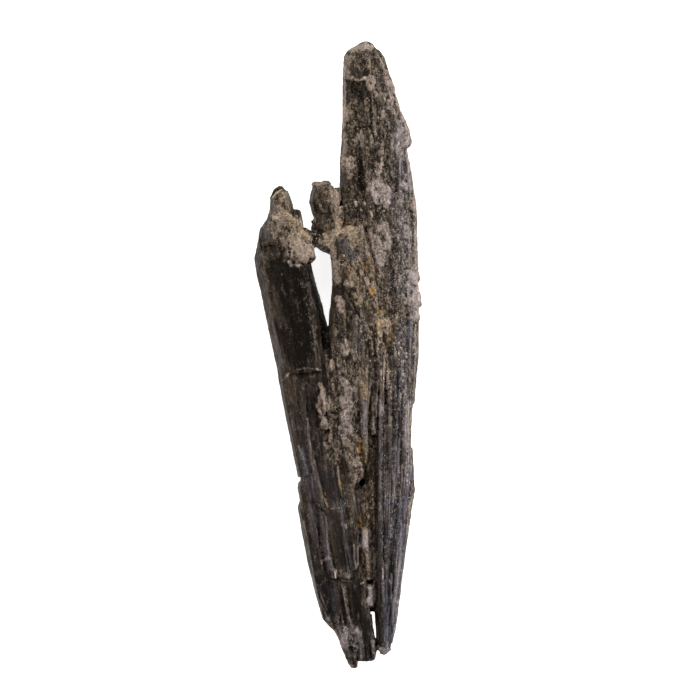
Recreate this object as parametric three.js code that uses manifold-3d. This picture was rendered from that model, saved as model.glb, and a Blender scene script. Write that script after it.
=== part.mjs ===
// Black kyanite: one natural cluster of flat, lath-like crystals that grew together, lying on its back.
// Millimetres, +Z up. +Y runs from the narrow foot to the tall tip, +X to the right as seen from above.
// The flat cleavage on the back is the plane z = 0, and the middle of the outline is the origin.
import * as THREE from "three";
import { mergeVertices } from "three/addons/utils/BufferGeometryUtils.js";
import Module from "manifold-3d";

// Driving dimensions of the whole specimen.
const LENGTH = 100.3;
const WIDTH = 27;
const MARGIN = 10;

// What a blade has unless its own entry says otherwise:
// tilt is the slope of its front face to the right, crown the drop from its ridge to its edges,
// ridge the ridge's place from -1 (left edge) to 1 (right edge), bevel the width of the left and right
// shoulders, waist how high up the side is widest, and ends the slant of the upper and lower break.
const LATH = { tilt: 0, crown: 0.25, ridge: 0, bevel: [0.25, 0.25], waist: [0.7, 0.7], ends: [0, 0] };
const BACK_BEVEL = 0.3;
const LOW_WAIST = 0.45;
const WIDEST_SHOULDER = 0.45;

// Each station is [y, left x, right x, front z, back z], from the blade's upper end to its lower end.
const BLADES = [
  // The tall blade on the right and the ribs that stand on its front.
  {
    name: "tall blade", crown: 1.3, ridge: 0.05, bevel: [0.9, 1.3], waist: [0.6, 0.55],
    stations: [
      [50.2, 4, 5.2, 5, 3.4], [49.9, 3.4, 5.6, 5.3, 3.2], [49.4, 2.65, 6, 5.6, 3],
      [48.9, 1.85, 6.7, 5.8, 2.8], [48.2, 1.2, 7.3, 6.2, 2.5], [47, 1, 7.85, 6.6, 2.2],
      [44.9, 0.95, 8.5, 7, 1.95], [42.6, 0.9, 9.25, 7.3, 1.8], [41, 0.9, 9.75, 7.4, 1.7],
      [38.6, 0.9, 10.4, 7.6, 1.5], [32.6, 0.65, 11.3, 7.9, 1.2], [28.6, 0.45, 11.85, 8, 1],
      [23, 0.45, 12.6, 8.1, 0.8], [16.6, 0.6, 12.85, 8.2, 0.7], [8.6, 1, 12.95, 8.3, 0.7],
      [0.6, 1.8, 12.95, 8.3, 0.7], [-7.4, 2.8, 12.05, 8, 0.8], [-15.4, 4.4, 11.7, 7.8, 1],
      [-21, 5.5, 11.5, 7.4, 1.3],
    ],
  },
  {
    name: "tip plate", tilt: 0.08, crown: 0.2, ends: [0.1, 0],
    stations: [
      [48.6, 2.3, 5.2, 6.25, 4], [47, 1.6, 5.5, 6.95, 4], [45.2, 1.35, 5.6, 7.35, 4],
      [44.2, 1.5, 5.4, 7.5, 4], [43.6, 2.4, 4.3, 7.5, 4],
    ],
  },
  {
    name: "tip shoulder rib", tilt: -0.2, crown: 0.2,
    stations: [
      [47.4, 4.9, 7, 6.5, 3.5], [44, 5.2, 8, 7.15, 3.5], [40.6, 5.3, 8.7, 7.5, 3.5],
      [36, 5.5, 9.1, 7.75, 3.5], [33.2, 6, 8.9, 7.7, 3.5],
    ],
  },
  {
    name: "left edge rib", tilt: 0.25, crown: 0.15, bevel: [0.5, 0.2],
    stations: [
      [43.4, 1, 2.3, 6.4, 2], [36, 0.85, 2.6, 6.9, 2], [31, 0.5, 3.1, 7.15, 2],
      [25, 0.45, 3.2, 7.35, 2], [19, 0.8, 3, 7.4, 2],
    ],
  },
  {
    name: "middle rib", tilt: -0.05, crown: 0.3, ridge: -0.2,
    stations: [
      [41, 4.1, 5.6, 7.5, 4], [32.6, 4.3, 6.5, 8.1, 4], [26, 4.5, 7.1, 8.3, 4], [18, 5, 8, 8.45, 4],
      [8, 5.8, 8.4, 8.5, 4],
    ],
  },
  {
    name: "right rib", tilt: -0.2, crown: 0.25,
    stations: [
      [38.4, 7.9, 9.5, 7.15, 3], [32.6, 7.5, 9.9, 7.5, 3], [23, 7.7, 10.4, 7.75, 3],
      [8.6, 8.3, 10.8, 8, 3], [-4, 8.3, 10.6, 8.1, 3], [-11, 8.4, 10.2, 8.1, 3],
    ],
  },
  {
    name: "outer right rib", tilt: -0.45, crown: 0.2, bevel: [0.2, 0.6],
    stations: [
      [31, 9.8, 11.6, 6.4, 2], [23, 10.4, 12.7, 6.7, 2], [8.6, 10.9, 13.05, 7, 2],
      [0, 10.8, 13, 7.2, 2], [-7.8, 10.4, 12.35, 7.25, 2],
    ],
  },
  {
    name: "flank flake", tilt: -0.5, crown: 0.1, bevel: [0.2, 0.7],
    stations: [
      [41.8, 9, 9.75, 5.6, 3.6], [38.3, 9.2, 10.6, 6, 3.2], [35.9, 9.3, 11.55, 6.2, 3],
      [33.9, 9.5, 11.95, 6.3, 2.9], [33.2, 9.6, 11.5, 6.3, 2.9],
    ],
  },
  // The blade that lies across the front of the tall one.
  {
    name: "centre blade", crown: 0.7, ridge: 0.3, bevel: [0.9, 0.5], waist: [0.5, 0.7],
    stations: [
      [21.1, 2.4, 3.7, 8.3, 5], [19.8, 0.6, 4.1, 8.9, 4], [18.2, -0.6, 4.7, 9.1, 3],
      [16.6, -1.05, 5.0, 9.2, 2.4], [14.7, -0.85, 5.6, 9.3, 2], [11.8, -0.7, 6.3, 9.4, 1.6],
      [8.6, -1.0, 6.8, 9.5, 1.3], [4.6, -1.35, 7.0, 9.6, 1], [0.6, -1.7, 6.7, 9.6, 0.9],
      [-4.2, -2.1, 5.9, 9.5, 0.9], [-9.0, -2.4, 5.2, 9.4, 1.0], [-13.8, -2.0, 4.9, 9.1, 1.5],
      [-17.0, -0.8, 4.6, 8.8, 3], [-19.4, 0.8, 4.1, 8.4, 4.4], [-21.1, 2.1, 3.1, 8.0, 5.2],
    ],
  },
  {
    name: "grey lath", tilt: 0.06, crown: 0.2, bevel: [0.2, 0.15], waist: [0.8, 0.9],
    stations: [
      [20.7, 2.9, 3.9, 9, 5], [16.6, 3.3, 5.05, 9.5, 5], [14.7, 3.6, 5.7, 9.65, 5],
      [10, 4, 6.3, 9.75, 5], [4, 4.4, 6.8, 9.75, 5], [0, 4.4, 6.5, 9.6, 5],
    ],
  },
  {
    name: "smooth dark face", tilt: -0.05, crown: 0.12,
    stations: [
      [18.6, -0.1, 1.7, 9.35, 5], [15, 0.1, 2.9, 9.6, 5], [10, 0.9, 3.6, 9.7, 5],
      [7.2, 1.4, 3.9, 9.7, 5],
    ],
  },
  {
    name: "left margin lath", tilt: 0.3, crown: 0.2, bevel: [0.5, 0.2],
    stations: [
      [17.4, -1.15, 0.2, 8.6, 3], [13.4, -0.75, 0.7, 8.8, 3], [10, -0.75, 1.5, 9, 3],
      [4, -1.3, 1.5, 9.15, 3], [-2, -1.8, 0.9, 9.2, 3], [-9, -2.4, 0, 9.1, 3],
    ],
  },
  {
    name: "blue lath", tilt: 0.1, crown: 0.1, ends: [0.3, 0],
    stations: [[6.4, 2.2, 3.5, 9.8, 5], [1, 2.2, 3.4, 9.85, 5], [-1.2, 2.1, 3.1, 9.75, 5]],
  },
  {
    name: "olive lath", tilt: -0.1, crown: 0.15, bevel: [0.15, 0.2],
    stations: [
      [2.5, 3.4, 5.1, 9.8, 5], [-4, 3.4, 5, 9.8, 5], [-10, 3.5, 4.9, 9.65, 5], [-15, 3.8, 4.9, 9.3, 5],
      [-17.6, 4, 4.7, 9, 5],
    ],
  },
  {
    name: "brown inner lath", tilt: 0.15, crown: 0.1,
    stations: [
      [7, 6.1, 7.7, 8.9, 4], [0, 5.7, 7.1, 8.95, 4], [-7, 5.2, 6.6, 8.8, 4], [-12.6, 5.1, 6.4, 8.4, 4],
    ],
  },
  {
    name: "pale ridge", tilt: -0.1, crown: 0.2,
    stations: [[2, 6.7, 7.8, 8.9, 4], [-5, 6.6, 7.7, 8.95, 4], [-10.6, 6.5, 7.4, 8.9, 4]],
  },
  // The broken stub between the left blade and the tall one.
  {
    name: "stub", crown: 0.5, ridge: 0.1, bevel: [0.6, 0.6], waist: [0.5, 0.6],
    stations: [
      [27.6, -3.6, -1.5, 6.4, 3.8], [27, -3.95, -0.7, 7, 3.2], [25.6, -4.3, 0, 7.4, 2.6],
      [24.4, -4.5, 0.3, 7.6, 2.4], [23.2, -4.1, 0.8, 7.4, 2.2], [21.8, -3.75, 1.1, 7.5, 2],
      [20.4, -4.2, 1.3, 7.7, 2], [18.6, -4, 1.4, 7.9, 2.2], [17.2, -3.2, 1.4, 8, 2.6],
      [16.2, -1.9, 1.2, 8, 3.2],
    ],
  },
  {
    name: "stub knob", tilt: 0.1, crown: 0.4, bevel: [0.5, 0.5],
    stations: [[26.4, -3.6, -1.2, 7.2, 4], [24.4, -3.9, -0.9, 8, 4], [22.6, -3.4, -1.2, 7.7, 4]],
  },
  // The left blade. Its right side slopes back, so that a dark band of it shows.
  {
    name: "left blade", crown: 0.5, ridge: -0.1, bevel: [1.3, 1.1], waist: [0.55, 0.15],
    stations: [
      [26.4, -9.6, -7.9, 6.6, 3.8], [25.2, -10.7, -7.4, 7.2, 3.3], [23.2, -10.8, -6.9, 7.6, 3.0],
      [21.6, -11.3, -6.4, 7.8, 2.8], [20.2, -12.4, -5.9, 8.0, 2.6], [18.4, -12.65, -5.3, 8.2, 2.4],
      [16.4, -13.05, -4.8, 8.3, 2.2], [15.6, -13.3, -4.4, 8.4, 2.1], [13.4, -12.95, -3.95, 8.5, 2.0],
      [11.0, -12.4, -3.3, 8.5, 1.9], [8.6, -11.9, -2.55, 8.5, 1.8], [4.6, -11.1, -1.55, 8.5, 1.6],
      [0.6, -10.2, -1.2, 8.5, 1.4], [-2.3, -9.6, -1.0, 8.6, 1.2],
    ],
  },
  {
    name: "left blade front", tilt: -0.04, crown: 0.15, bevel: [0.4, 0.2], ends: [0.0, 0.1],
    stations: [
      [14, -11, -5.9, 8.65, 5], [8.6, -10.4, -4.6, 8.75, 5], [0.6, -8.9, -2.7, 8.75, 5],
      [-2.2, -8.2, -2.2, 8.8, 5], [-2.8, -7.4, -2.6, 8.8, 5],
    ],
  },
  {
    name: "left tip crescent", crown: 0.3, bevel: [0.4, 0.4],
    stations: [
      [27.1, -9.4, -8.8, 5.5, 3.8], [26.5, -10.2, -8.3, 6.0, 3.4], [25.2, -10.75, -8.0, 6.2, 3.2],
      [23.6, -10.6, -8.0, 6.2, 3],
    ],
  },
  {
    name: "left shard", tilt: -0.2, crown: 0.1, ends: [-0.3, 0],
    stations: [[23.2, -7.0, -6.15, 6.8, 3.4], [21.0, -7.0, -5.8, 7.2, 3.2], [18.6, -7.0, -5.3, 7.4, 3]],
  },
  {
    name: "left cheek", tilt: 0.3, crown: 0.1, bevel: [0.4, 0.2],
    stations: [[21.2, -11.6, -10.2, 8.1, 4], [19.4, -12.3, -9.9, 8.5, 4], [17.4, -12.5, -10.0, 8.7, 4]],
  },
  {
    name: "web beside the left blade", tilt: 0.1, crown: 0.1,
    stations: [
      [4.6, -1.9, -1.2, 5.6, 3], [3.6, -2.4, -0.7, 7.2, 3], [0.4, -2.8, -0.5, 8.0, 3],
      [-3.6, -3, -0.9, 8.35, 3], [-7.4, -2.8, -1.4, 8.45, 3],
    ],
  },
  // The bundle below the left blade, which narrows to the foot.
  {
    name: "lower left body", crown: 0.35, ridge: 0.2, bevel: [1.2, 0.6], waist: [0.55, 0.6],
    stations: [
      [-0.5, -9.3, -1.2, 8.2, 1.5], [-7.4, -8.65, -1, 8.2, 1.1], [-13.8, -7.3, 1.3, 8.15, 0.9],
      [-19.4, -5.9, 2.8, 8.1, 0.8], [-25, -5.8, 3.4, 8.1, 0.8], [-31.4, -4.8, 3.7, 7.9, 0.9],
      [-36.2, -3.8, 4.4, 7.5, 1.1], [-39.4, -2.9, 4.8, 7.2, 1.4], [-42.2, -2.2, 5.15, 6.8, 1.7],
      [-44.3, -0.4, 5.5, 6.4, 2], [-46.6, 0.85, 6, 5.95, 2.3], [-48, 1.4, 6.2, 5.5, 2.6],
      [-48.95, 1.8, 5.9, 5, 2.9],
    ],
  },
  {
    name: "outer left lath", tilt: 0.15, crown: 0.12, bevel: [0.7, 0.15], ends: [0, 0.15],
    stations: [
      [-2.1, -9.6, -6.4, 8.3, 2], [-7.4, -8.7, -6.2, 8.3, 2], [-13.8, -7.35, -5.5, 8.25, 2],
      [-19.3, -6.2, -4.6, 8.2, 2],
    ],
  },
  {
    name: "long left ridge", tilt: 0.12, crown: 0.1, bevel: [0.2, 0.12], waist: [0.8, 0.9],
    ends: [0.6, -0.6],
    stations: [
      [-3.9, -6.5, -5.2, 8.35, 3], [-7.4, -6.3, -4.9, 8.45, 3], [-11.4, -6, -4.7, 8.5, 3],
      [-16, -5.3, -4, 8.5, 3], [-20.5, -4.5, -2.9, 8.5, 3], [-22.7, -3.9, -2.3, 8.45, 3],
      [-24.3, -3.4, -1.6, 8.35, 3],
    ],
  },
  {
    name: "green-black lath", tilt: -0.1, crown: 0.1, ends: [-0.5, 0],
    stations: [
      [-4.4, -5.2, -3.3, 8.3, 3], [-9, -4.8, -2.6, 8.3, 3], [-15, -4.1, -1, 8.25, 3],
      [-16.3, -3.9, -0.8, 8.2, 3],
    ],
  },
  {
    name: "second left lath", tilt: 0.2, crown: 0.15, bevel: [0.5, 0.15],
    stations: [
      [-20.3, -6.2, -3.4, 8.0, 1.6], [-21.2, -6.35, -3.3, 8.1, 1.6], [-23.2, -5.95, -2.9, 8.1, 1.6],
    ],
  },
  {
    name: "third left lath", tilt: 0.25, crown: 0.15, bevel: [0.5, 0.15],
    stations: [
      [-23.3, -6, -4, 7.9, 1.6], [-24.3, -6.3, -3.9, 8, 1.6], [-28, -5.65, -2.9, 8, 1.6],
      [-33, -4.7, -2.1, 7.75, 1.6], [-38, -3.5, -1.6, 7.3, 1.9], [-42.2, -2.35, -1, 6.75, 2.2],
      [-43.7, -0.9, -0.1, 6.4, 2.6],
    ],
  },
  {
    name: "blue broken lath", tilt: -0.12, crown: 0.08, bevel: [0.15, 0.12], waist: [0.85, 0.9],
    ends: [0, -0.2],
    stations: [
      [-24.8, -3.2, -1.7, 8.3, 4], [-28, -2.85, -1.3, 8.35, 4], [-32, -2.2, -0.75, 8.3, 4],
      [-35.4, -1.35, -0.05, 8.1, 4],
    ],
  },
  {
    name: "brown smooth lath", tilt: 0.05, crown: 0.1, bevel: [0.2, 0.25],
    stations: [
      [-16, -3.7, -0.8, 8.25, 4], [-20.5, -2.7, 0.1, 8.35, 4], [-24, -1.6, 0.65, 8.35, 4],
      [-29.6, -1.1, 1.4, 8.3, 4], [-32.8, -0.65, 1.95, 8.2, 4], [-35.2, 0, 2.35, 8.05, 4],
      [-36, 0.6, 1.9, 7.95, 4],
    ],
  },
  {
    name: "round-ended lath", tilt: -0.15, crown: 0.12,
    stations: [
      [-20.4, 0.3, 2.2, 8.35, 4], [-24.8, 0.75, 3, 8.4, 4], [-28, 1.15, 3.5, 8.35, 4],
      [-32.8, 2.05, 3.4, 8.15, 4], [-34.1, 2.5, 3.2, 8.05, 4],
    ],
  },
  {
    name: "foot lath", tilt: -0.03, crown: 0.2, bevel: [0.25, 0.2],
    stations: [
      [-34.6, 2.6, 4.3, 7.6, 2], [-36.2, 1.7, 4.5, 7.6, 2], [-39.4, 1.8, 4.8, 7.5, 2],
      [-44, 2.6, 5.1, 7, 2], [-48.9, 3.5, 5.3, 5.9, 2.4],
    ],
  },
  {
    name: "pale foot ridge", tilt: -0.1, crown: 0.2,
    stations: [[-36.6, 0.6, 1.4, 7.75, 3], [-39.4, 0.95, 1.9, 7.7, 3], [-43, 1.6, 2.4, 7.25, 3]],
  },
  {
    name: "purple-black lath", tilt: 0.12, crown: 0.15, ends: [-0.4, 0],
    stations: [
      [-34.4, -3, -0.8, 7.6, 3], [-37.8, -2.2, 0.4, 7.5, 3], [-42, -0.9, 1.2, 7.05, 3],
      [-45.6, 0.3, 1.7, 6.4, 3],
    ],
  },
  {
    name: "foot prong", crown: 0.3, bevel: [0.4, 0.3],
    stations: [
      [-45.0, 1.5, 3.4, 6.7, 2], [-48.0, 1.5, 3.4, 6.0, 2.2], [-49.3, 1.7, 3.35, 5.4, 2.6],
      [-50.1, 2.2, 3.25, 4.7, 3.2],
    ],
  },
  {
    name: "foot side strip", tilt: -0.4, crown: 0.1, bevel: [0.1, 0.2],
    stations: [
      [-38.6, 4.5, 5.1, 6.8, 2], [-41, 4.6, 5.25, 6.7, 2], [-43, 4.8, 5.42, 6.6, 2],
      [-45, 5, 5.75, 6.3, 2.1], [-47.2, 5.4, 6.35, 6, 2.2], [-48.6, 5.5, 6.1, 5.4, 2.6],
    ],
  },
  // The valley between the two lower bundles, with pale strips on its floor.
  {
    name: "valley floor", tilt: -0.1, crown: 0.05, bevel: [0.1, 0.1],
    stations: [
      [-9.0, 2.6, 7.0, 8.1, 1.4], [-13.6, 2.4, 7.0, 7.7, 1.3], [-18.0, 2.2, 7.0, 7.3, 1.3],
      [-24.0, 2.4, 6.9, 7.0, 1.2], [-32.0, 3.2, 6.8, 6.6, 1.3], [-38.0, 4.2, 6.6, 6.0, 1.6],
      [-40.9, 4.5, 6.3, 5.5, 1.9],
    ],
  },
  {
    name: "grey valley strip", crown: 0.05, bevel: [0.1, 0.1],
    stations: [[-27.9, 3.8, 5.0, 7.3, 4], [-31.3, 4.0, 5.1, 7.2, 4]],
  },
  {
    name: "rough valley strip", crown: 0.1, bevel: [0.15, 0.15],
    stations: [[-31.2, 4.3, 5.5, 7.05, 4], [-35.7, 4.7, 5.7, 6.8, 4]],
  },
  {
    name: "white valley strip", crown: 0.1, bevel: [0.15, 0.1],
    stations: [[-36.9, 4.7, 5.75, 6.75, 3], [-40.3, 5.0, 5.9, 6.4, 3]],
  },
  // The right-hand bundle, below the tall blade.
  {
    name: "lower right body", crown: 0.5, ridge: -0.2, bevel: [0.4, 0.9], waist: [0.7, 0.55],
    stations: [
      [-2.0, 6.0, 11.7, 8.4, 1.3], [-7.4, 6.2, 11.9, 8.5, 1.0], [-15.0, 6.4, 11.8, 8.6, 0.8],
      [-21.8, 6.5, 12.0, 8.6, 0.8], [-29.8, 6.5, 11.1, 8.3, 0.9], [-36.0, 6.4, 10.25, 7.8, 1.2],
      [-41.0, 6.3, 9.5, 7.2, 1.6], [-45.8, 6.4, 8.8, 6.3, 2.2], [-47.2, 6.6, 8.4, 5.7, 2.6],
      [-47.9, 6.9, 7.9, 5.1, 3.1],
    ],
  },
  {
    name: "stepped outer lath", tilt: -0.4, crown: 0.15, bevel: [0.15, 0.5],
    stations: [
      [-14.9, 10.2, 12.1, 7.8, 2], [-20.0, 10.0, 12.3, 8.0, 2], [-21.6, 10.0, 12.45, 8.0, 2],
      [-24.0, 9.9, 12.0, 8.0, 2], [-30.0, 9.6, 11.15, 7.7, 2], [-38.0, 9.0, 10.15, 7.2, 2],
      [-42.8, 8.3, 9.55, 6.5, 2.2], [-46.0, 7.9, 8.9, 5.7, 2.6],
    ],
  },
  {
    name: "blue ridge", tilt: -0.1, crown: 0.08, bevel: [0.1, 0.12], waist: [0.9, 0.8],
    stations: [
      [-9, 6.6, 7.4, 8.7, 3], [-16, 6.5, 7.25, 8.75, 3], [-24, 6.4, 7.2, 8.7, 3],
      [-32, 6.55, 7.35, 8.35, 3], [-40, 6.6, 7.5, 7.6, 3], [-45.6, 6.8, 7.6, 6.5, 3],
    ],
  },
  {
    name: "striated ridge", tilt: 0.05, crown: 0.12,
    stations: [
      [-3, 7.6, 8.7, 8.65, 3], [-12, 7.9, 8.9, 8.72, 3], [-22, 7.9, 9, 8.72, 3],
      [-29, 7.8, 8.7, 8.5, 3],
    ],
  },
  {
    name: "inner right ridge", tilt: -0.15, crown: 0.12,
    stations: [
      [-6, 9.2, 10.3, 8.4, 3], [-16, 9.2, 10.4, 8.5, 3], [-26, 9.2, 10.4, 8.4, 3],
      [-36, 8.8, 9.8, 7.8, 3], [-43, 8.2, 9, 6.85, 3],
    ],
  },
  {
    name: "gap side lath", tilt: 0.2, crown: 0.1, bevel: [0.15, 0.1],
    stations: [
      [-37, 6, 6.9, 6.4, 1.8], [-41, 6.05, 7, 6.2, 1.8], [-45, 6.25, 7.1, 5.8, 2],
      [-47, 6.4, 7.3, 5.2, 2.4],
    ],
  },
  // The laths of the back. Those that reach the plane z = 0 make the flat cleavage it lies on.
  {
    name: "flat back lath",
    stations: [
      [31.0, 2.2, 6.4, 4, -0.1], [24.0, 2.4, 7.4, 4, -0.3], [-9.0, 3.8, 7.8, 4, -0.3],
      [-14.0, 4.6, 7.6, 4, 0.3],
    ],
  },
  {
    name: "right back lath",
    stations: [[27.0, 8.0, 10.7, 4, 0.5], [10.0, 8.4, 11.4, 4, 0.3], [-20.0, 8.2, 10.6, 4, 0.4]],
  },
  {
    name: "left edge back lath",
    stations: [[40.0, 1.5, 3.2, 4, 1.1], [22.0, 1.1, 2.9, 4, 0.3], [4.0, 1.9, 4.2, 4, 0.2]],
  },
  {
    name: "tip back lath",
    stations: [[47.0, 3.0, 5.6, 4, 1.9], [36.0, 3.6, 7.8, 4, 1.0], [24.0, 4.6, 8.6, 4, 0.4]],
  },
  {
    name: "outer back lath",
    stations: [[18.0, 10.4, 12.0, 4, 0.9], [0.0, 10.6, 12.2, 4, 0.7], [-12.0, 10.0, 11.2, 4, 0.9]],
  },
  {
    name: "lower right back lath",
    stations: [[-6.0, 6.6, 8.9, 4, 0.0], [-24.0, 7.0, 9.4, 4, 0.1], [-41.0, 6.9, 8.4, 4, 1.0]],
  },
  {
    name: "lower right outer back lath",
    stations: [[-13.0, 9.4, 11.4, 4, 0.5], [-34.0, 8.6, 9.9, 4, 0.9]],
  },
  {
    name: "left blade back lath",
    stations: [[20.6, -11.6, -8.2, 4, 2.0], [8.0, -10.8, -7.2, 4, 1.1], [-4.0, -8.6, -5.6, 4, 0.6]],
  },
  {
    name: "left blade inner back lath",
    stations: [[15.0, -7.6, -5.4, 4, 1.6], [-6.0, -5.0, -2.4, 4, 0.7]],
  },
  { name: "lower left back lath", stations: [[-5.0, -7.8, -4.6, 4, 0.5], [-22.0, -4.9, -2.6, 4, 0.3]] },
  {
    name: "flat lower back lath",
    stations: [
      [-7.0, -4.4, -0.6, 4, 0.1], [-12.0, -3.8, 0.4, 4, -0.3], [-32.0, -2.6, 1.2, 4, -0.3],
      [-40.0, -1.2, 1.6, 4, 0.6],
    ],
  },
  {
    name: "inner lower back lath",
    stations: [[-16.0, 0.6, 2.9, 4, 0.4], [-34.0, 1.4, 3.9, 4, 0.4], [-47.0, 2.4, 4.3, 4, 1.8]],
  },
  {
    name: "narrow lower back lath",
    stations: [[-25.0, -5.0, -3.3, 4, 0.5], [-41.0, -1.9, -0.8, 4, 1.4]],
  },
];

// Lumps of mica and quartz crust: [x, y, z, half width, half length, half depth, turn in degrees].
const LUMPS = [
  // Around the gap between the left blade and the stub.
  [-6.4, 17.6, 7.8, 2.7, 2.7, 1.4, 20], [-4.9, 16.3, 8.1, 1.6, 1.9, 1.3, 10],
  [-8.7, 20.4, 7.6, 2.2, 2.2, 1.0, 25], [-4.2, 18.6, 7.2, 1.8, 1.5, 1.7, 0],
  [-2.6, 18.2, 7.6, 1.6, 1.5, 1.3, 30], [-1.6, 17.0, 7.4, 1.5, 1.1, 1.5, -30],
  [-3.3, 27.2, 5.8, 0.85, 0.6, 1.2, 0], [-1.7, 27.3, 5.8, 0.9, 0.65, 1.2, 0],
  // Over the stub and the head of the centre blade.
  [-3.6, 22.0, 6.6, 0.9, 1.6, 1.3, 0], [0.0, 25.2, 6.4, 0.9, 1.8, 1.2, 0],
  [0.3, 21.8, 7.3, 1.0, 2.1, 1.1, 0],
  [-0.6, 19.8, 8.0, 1.7, 1.3, 1.0, -15], [1.9, 19.7, 8.3, 1.6, 1.2, 0.9, 15],
  [-0.6, 17.4, 8.1, 1.0, 2.0, 1.0, 10],
  // On the tall blade.
  [6.6, 26.2, 7.6, 2.0, 2.0, 0.95, 20], [6.9, 17.4, 8.0, 1.8, 2.8, 0.85, -8],
  [5.4, 42.3, 7.0, 0.9, 1.7, 0.65, 8], [1.6, 30.5, 7.0, 1.2, 1.6, 0.7, 0],
  [12.1, 12.2, 6.9, 1.2, 1.4, 1.3, 0], [12.35, 9.0, 6.5, 1.1, 2.0, 1.4, 0],
  [12.4, 5.9, 6.3, 1.0, 1.6, 1.3, 0],
  // Down the centre.
  [0.5, 8.0, 8.8, 0.9, 1.7, 0.7, 0], [1.3, 0.8, 9.1, 1.2, 1.7, 0.8, 0],
  [7.6, 4.6, 8.4, 1.1, 1.7, 0.7, 0],
  [1.6, -6.6, 9.0, 1.4, 3.0, 0.95, -5], [1.9, -9.6, 9.0, 1.6, 2.2, 0.95, -12],
  [1.4, -12.4, 8.8, 1.3, 2.2, 0.95, 0],
  [-2.2, -7.4, 8.5, 1.1, 2.3, 0.6, -8], [-2.0, -10.9, 8.4, 0.9, 1.5, 0.6, 0],
  [2.7, -16.2, 8.4, 1.5, 2.9, 1.0, 8],
  // At the foot.
  [2.2, -44.6, 6.5, 1.7, 1.8, 0.85, 0], [1.2, -45.6, 6.0, 0.8, 1.5, 0.85, 25],
  [7.6, -46.9, 5.3, 1.1, 0.9, 1.1, 0],
];

// Deep dark pits between the crystals, in the same form as the lumps.
const PITS = [
  [3.9, -20.3, 6.4, 0.65, 0.75, 3.0, 0],
  [5.2, -36.3, 5.6, 0.6, 0.35, 2.4, 0],
];

// How far a lump's corners are pushed in and out, how much its top is flattened, and the size (half
// width by half length) below which it has the fewest facets.
const LUMP_ROUGHNESS = 0.42;
const FLAT_TOP = 0.35;
const COARSE_BELOW = 2.2;
const CORNERS_APART = 97;

// The wave that the lumps' repeatable random numbers are read from.
const SCATTER_STEP = 12.9898;
const SCATTER_START = 4.1414;
const SCATTER_GAIN = 43758.5453;

// Corners closer than this are one corner.
const WELD = 1e-4;

const wasm = await Module();
wasm.setup();

// A repeatable number from 0 to 1 for each whole number.
function scatter(n) {
  const wave = Math.sin(n * SCATTER_STEP + SCATTER_START) * SCATTER_GAIN;
  return wave - Math.floor(wave);
}

// A closed three.js geometry as a solid.
function solidFrom(geometry) {
  geometry.deleteAttribute("normal");
  geometry.deleteAttribute("uv");
  const merged = mergeVertices(geometry, WELD);
  return new wasm.Manifold(
    new wasm.Mesh({
      numProp: 3,
      vertProperties: merged.attributes.position.array,
      triVerts: new Uint32Array(merged.index.array),
    }),
  );
}

// The corners of a blade's cross-section at one station, as [x, z] pairs in order round it.
function sectionOf(blade, [, left, right, front, back]) {
  const half = (right - left) / 2;
  const middle = (right + left) / 2;
  const ridgeX = middle + blade.ridge * half;
  const face = (x) => front + blade.tilt * (x - middle) - (blade.crown * Math.abs(x - ridgeX)) / half;
  const shoulderLeft = left + Math.min(blade.bevel[0], WIDEST_SHOULDER * half);
  const shoulderRight = right - Math.min(blade.bevel[1], WIDEST_SHOULDER * half);
  const sideLeft = back + blade.waist[0] * (face(shoulderLeft) - back);
  const sideRight = back + blade.waist[1] * (face(shoulderRight) - back);
  return [
    [left, sideLeft],
    [shoulderLeft, face(shoulderLeft)],
    [ridgeX, face(ridgeX)],
    [shoulderRight, face(shoulderRight)],
    [right, sideRight],
    [right, back + LOW_WAIST * (sideRight - back)],
    [right - BACK_BEVEL * half, back],
    [left + BACK_BEVEL * half, back],
    [left, back + LOW_WAIST * (sideLeft - back)],
  ];
}

// One blade: its cross-sections joined into a closed solid, with slanting breaks at its two ends.
function bladeSolid(entry) {
  const blade = { ...LATH, ...entry };
  const last = blade.stations.length - 1;
  const points = [];
  const faces = [];
  blade.stations.forEach((station, i) => {
    const [y, left, right] = station;
    const slant = i === 0 ? blade.ends[0] : i === last ? blade.ends[1] : 0;
    for (const [x, z] of sectionOf(blade, station)) {
      points.push(x, y + slant * (x - (left + right) / 2), z);
    }
  });
  const corners = points.length / 3 / blade.stations.length;
  for (let i = 0; i < last; i++) {
    for (let j = 0; j < corners; j++) {
      const a = i * corners + j;
      const b = i * corners + ((j + 1) % corners);
      faces.push(a, b + corners, b, a, a + corners, b + corners);
    }
  }
  for (let j = 1; j < corners - 1; j++) {
    faces.push(0, j, j + 1);
    faces.push(last * corners, last * corners + j + 1, last * corners + j);
  }
  const geometry = new THREE.BufferGeometry()
    .setAttribute("position", new THREE.Float32BufferAttribute(points, 3))
    .setIndex(faces);
  return solidFrom(geometry);
}

// One lump: a ball of flat facets pushed in and out and flattened on top, then stretched, turned and
// set in place.
function lumpSolid([x, y, z, halfWidth, halfLength, halfDepth, turn], index) {
  const detail = halfWidth * halfLength < COARSE_BELOW ? 0 : 1;
  const sphere = new THREE.IcosahedronGeometry(1, detail).deleteAttribute("normal").deleteAttribute("uv");
  const ball = mergeVertices(sphere, WELD);
  const position = ball.attributes.position;
  for (let i = 0; i < position.count; i++) {
    const reach = 1 + LUMP_ROUGHNESS * (scatter(i + CORNERS_APART * index) - 0.5);
    const height = position.getZ(i) * (1 - FLAT_TOP * position.getZ(i) ** 2);
    position.setXYZ(i, position.getX(i) * reach, position.getY(i) * reach, height * reach);
  }
  ball.scale(halfWidth, halfLength, halfDepth).rotateZ(THREE.MathUtils.degToRad(turn)).translate(x, y, z);
  return solidFrom(ball);
}

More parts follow.
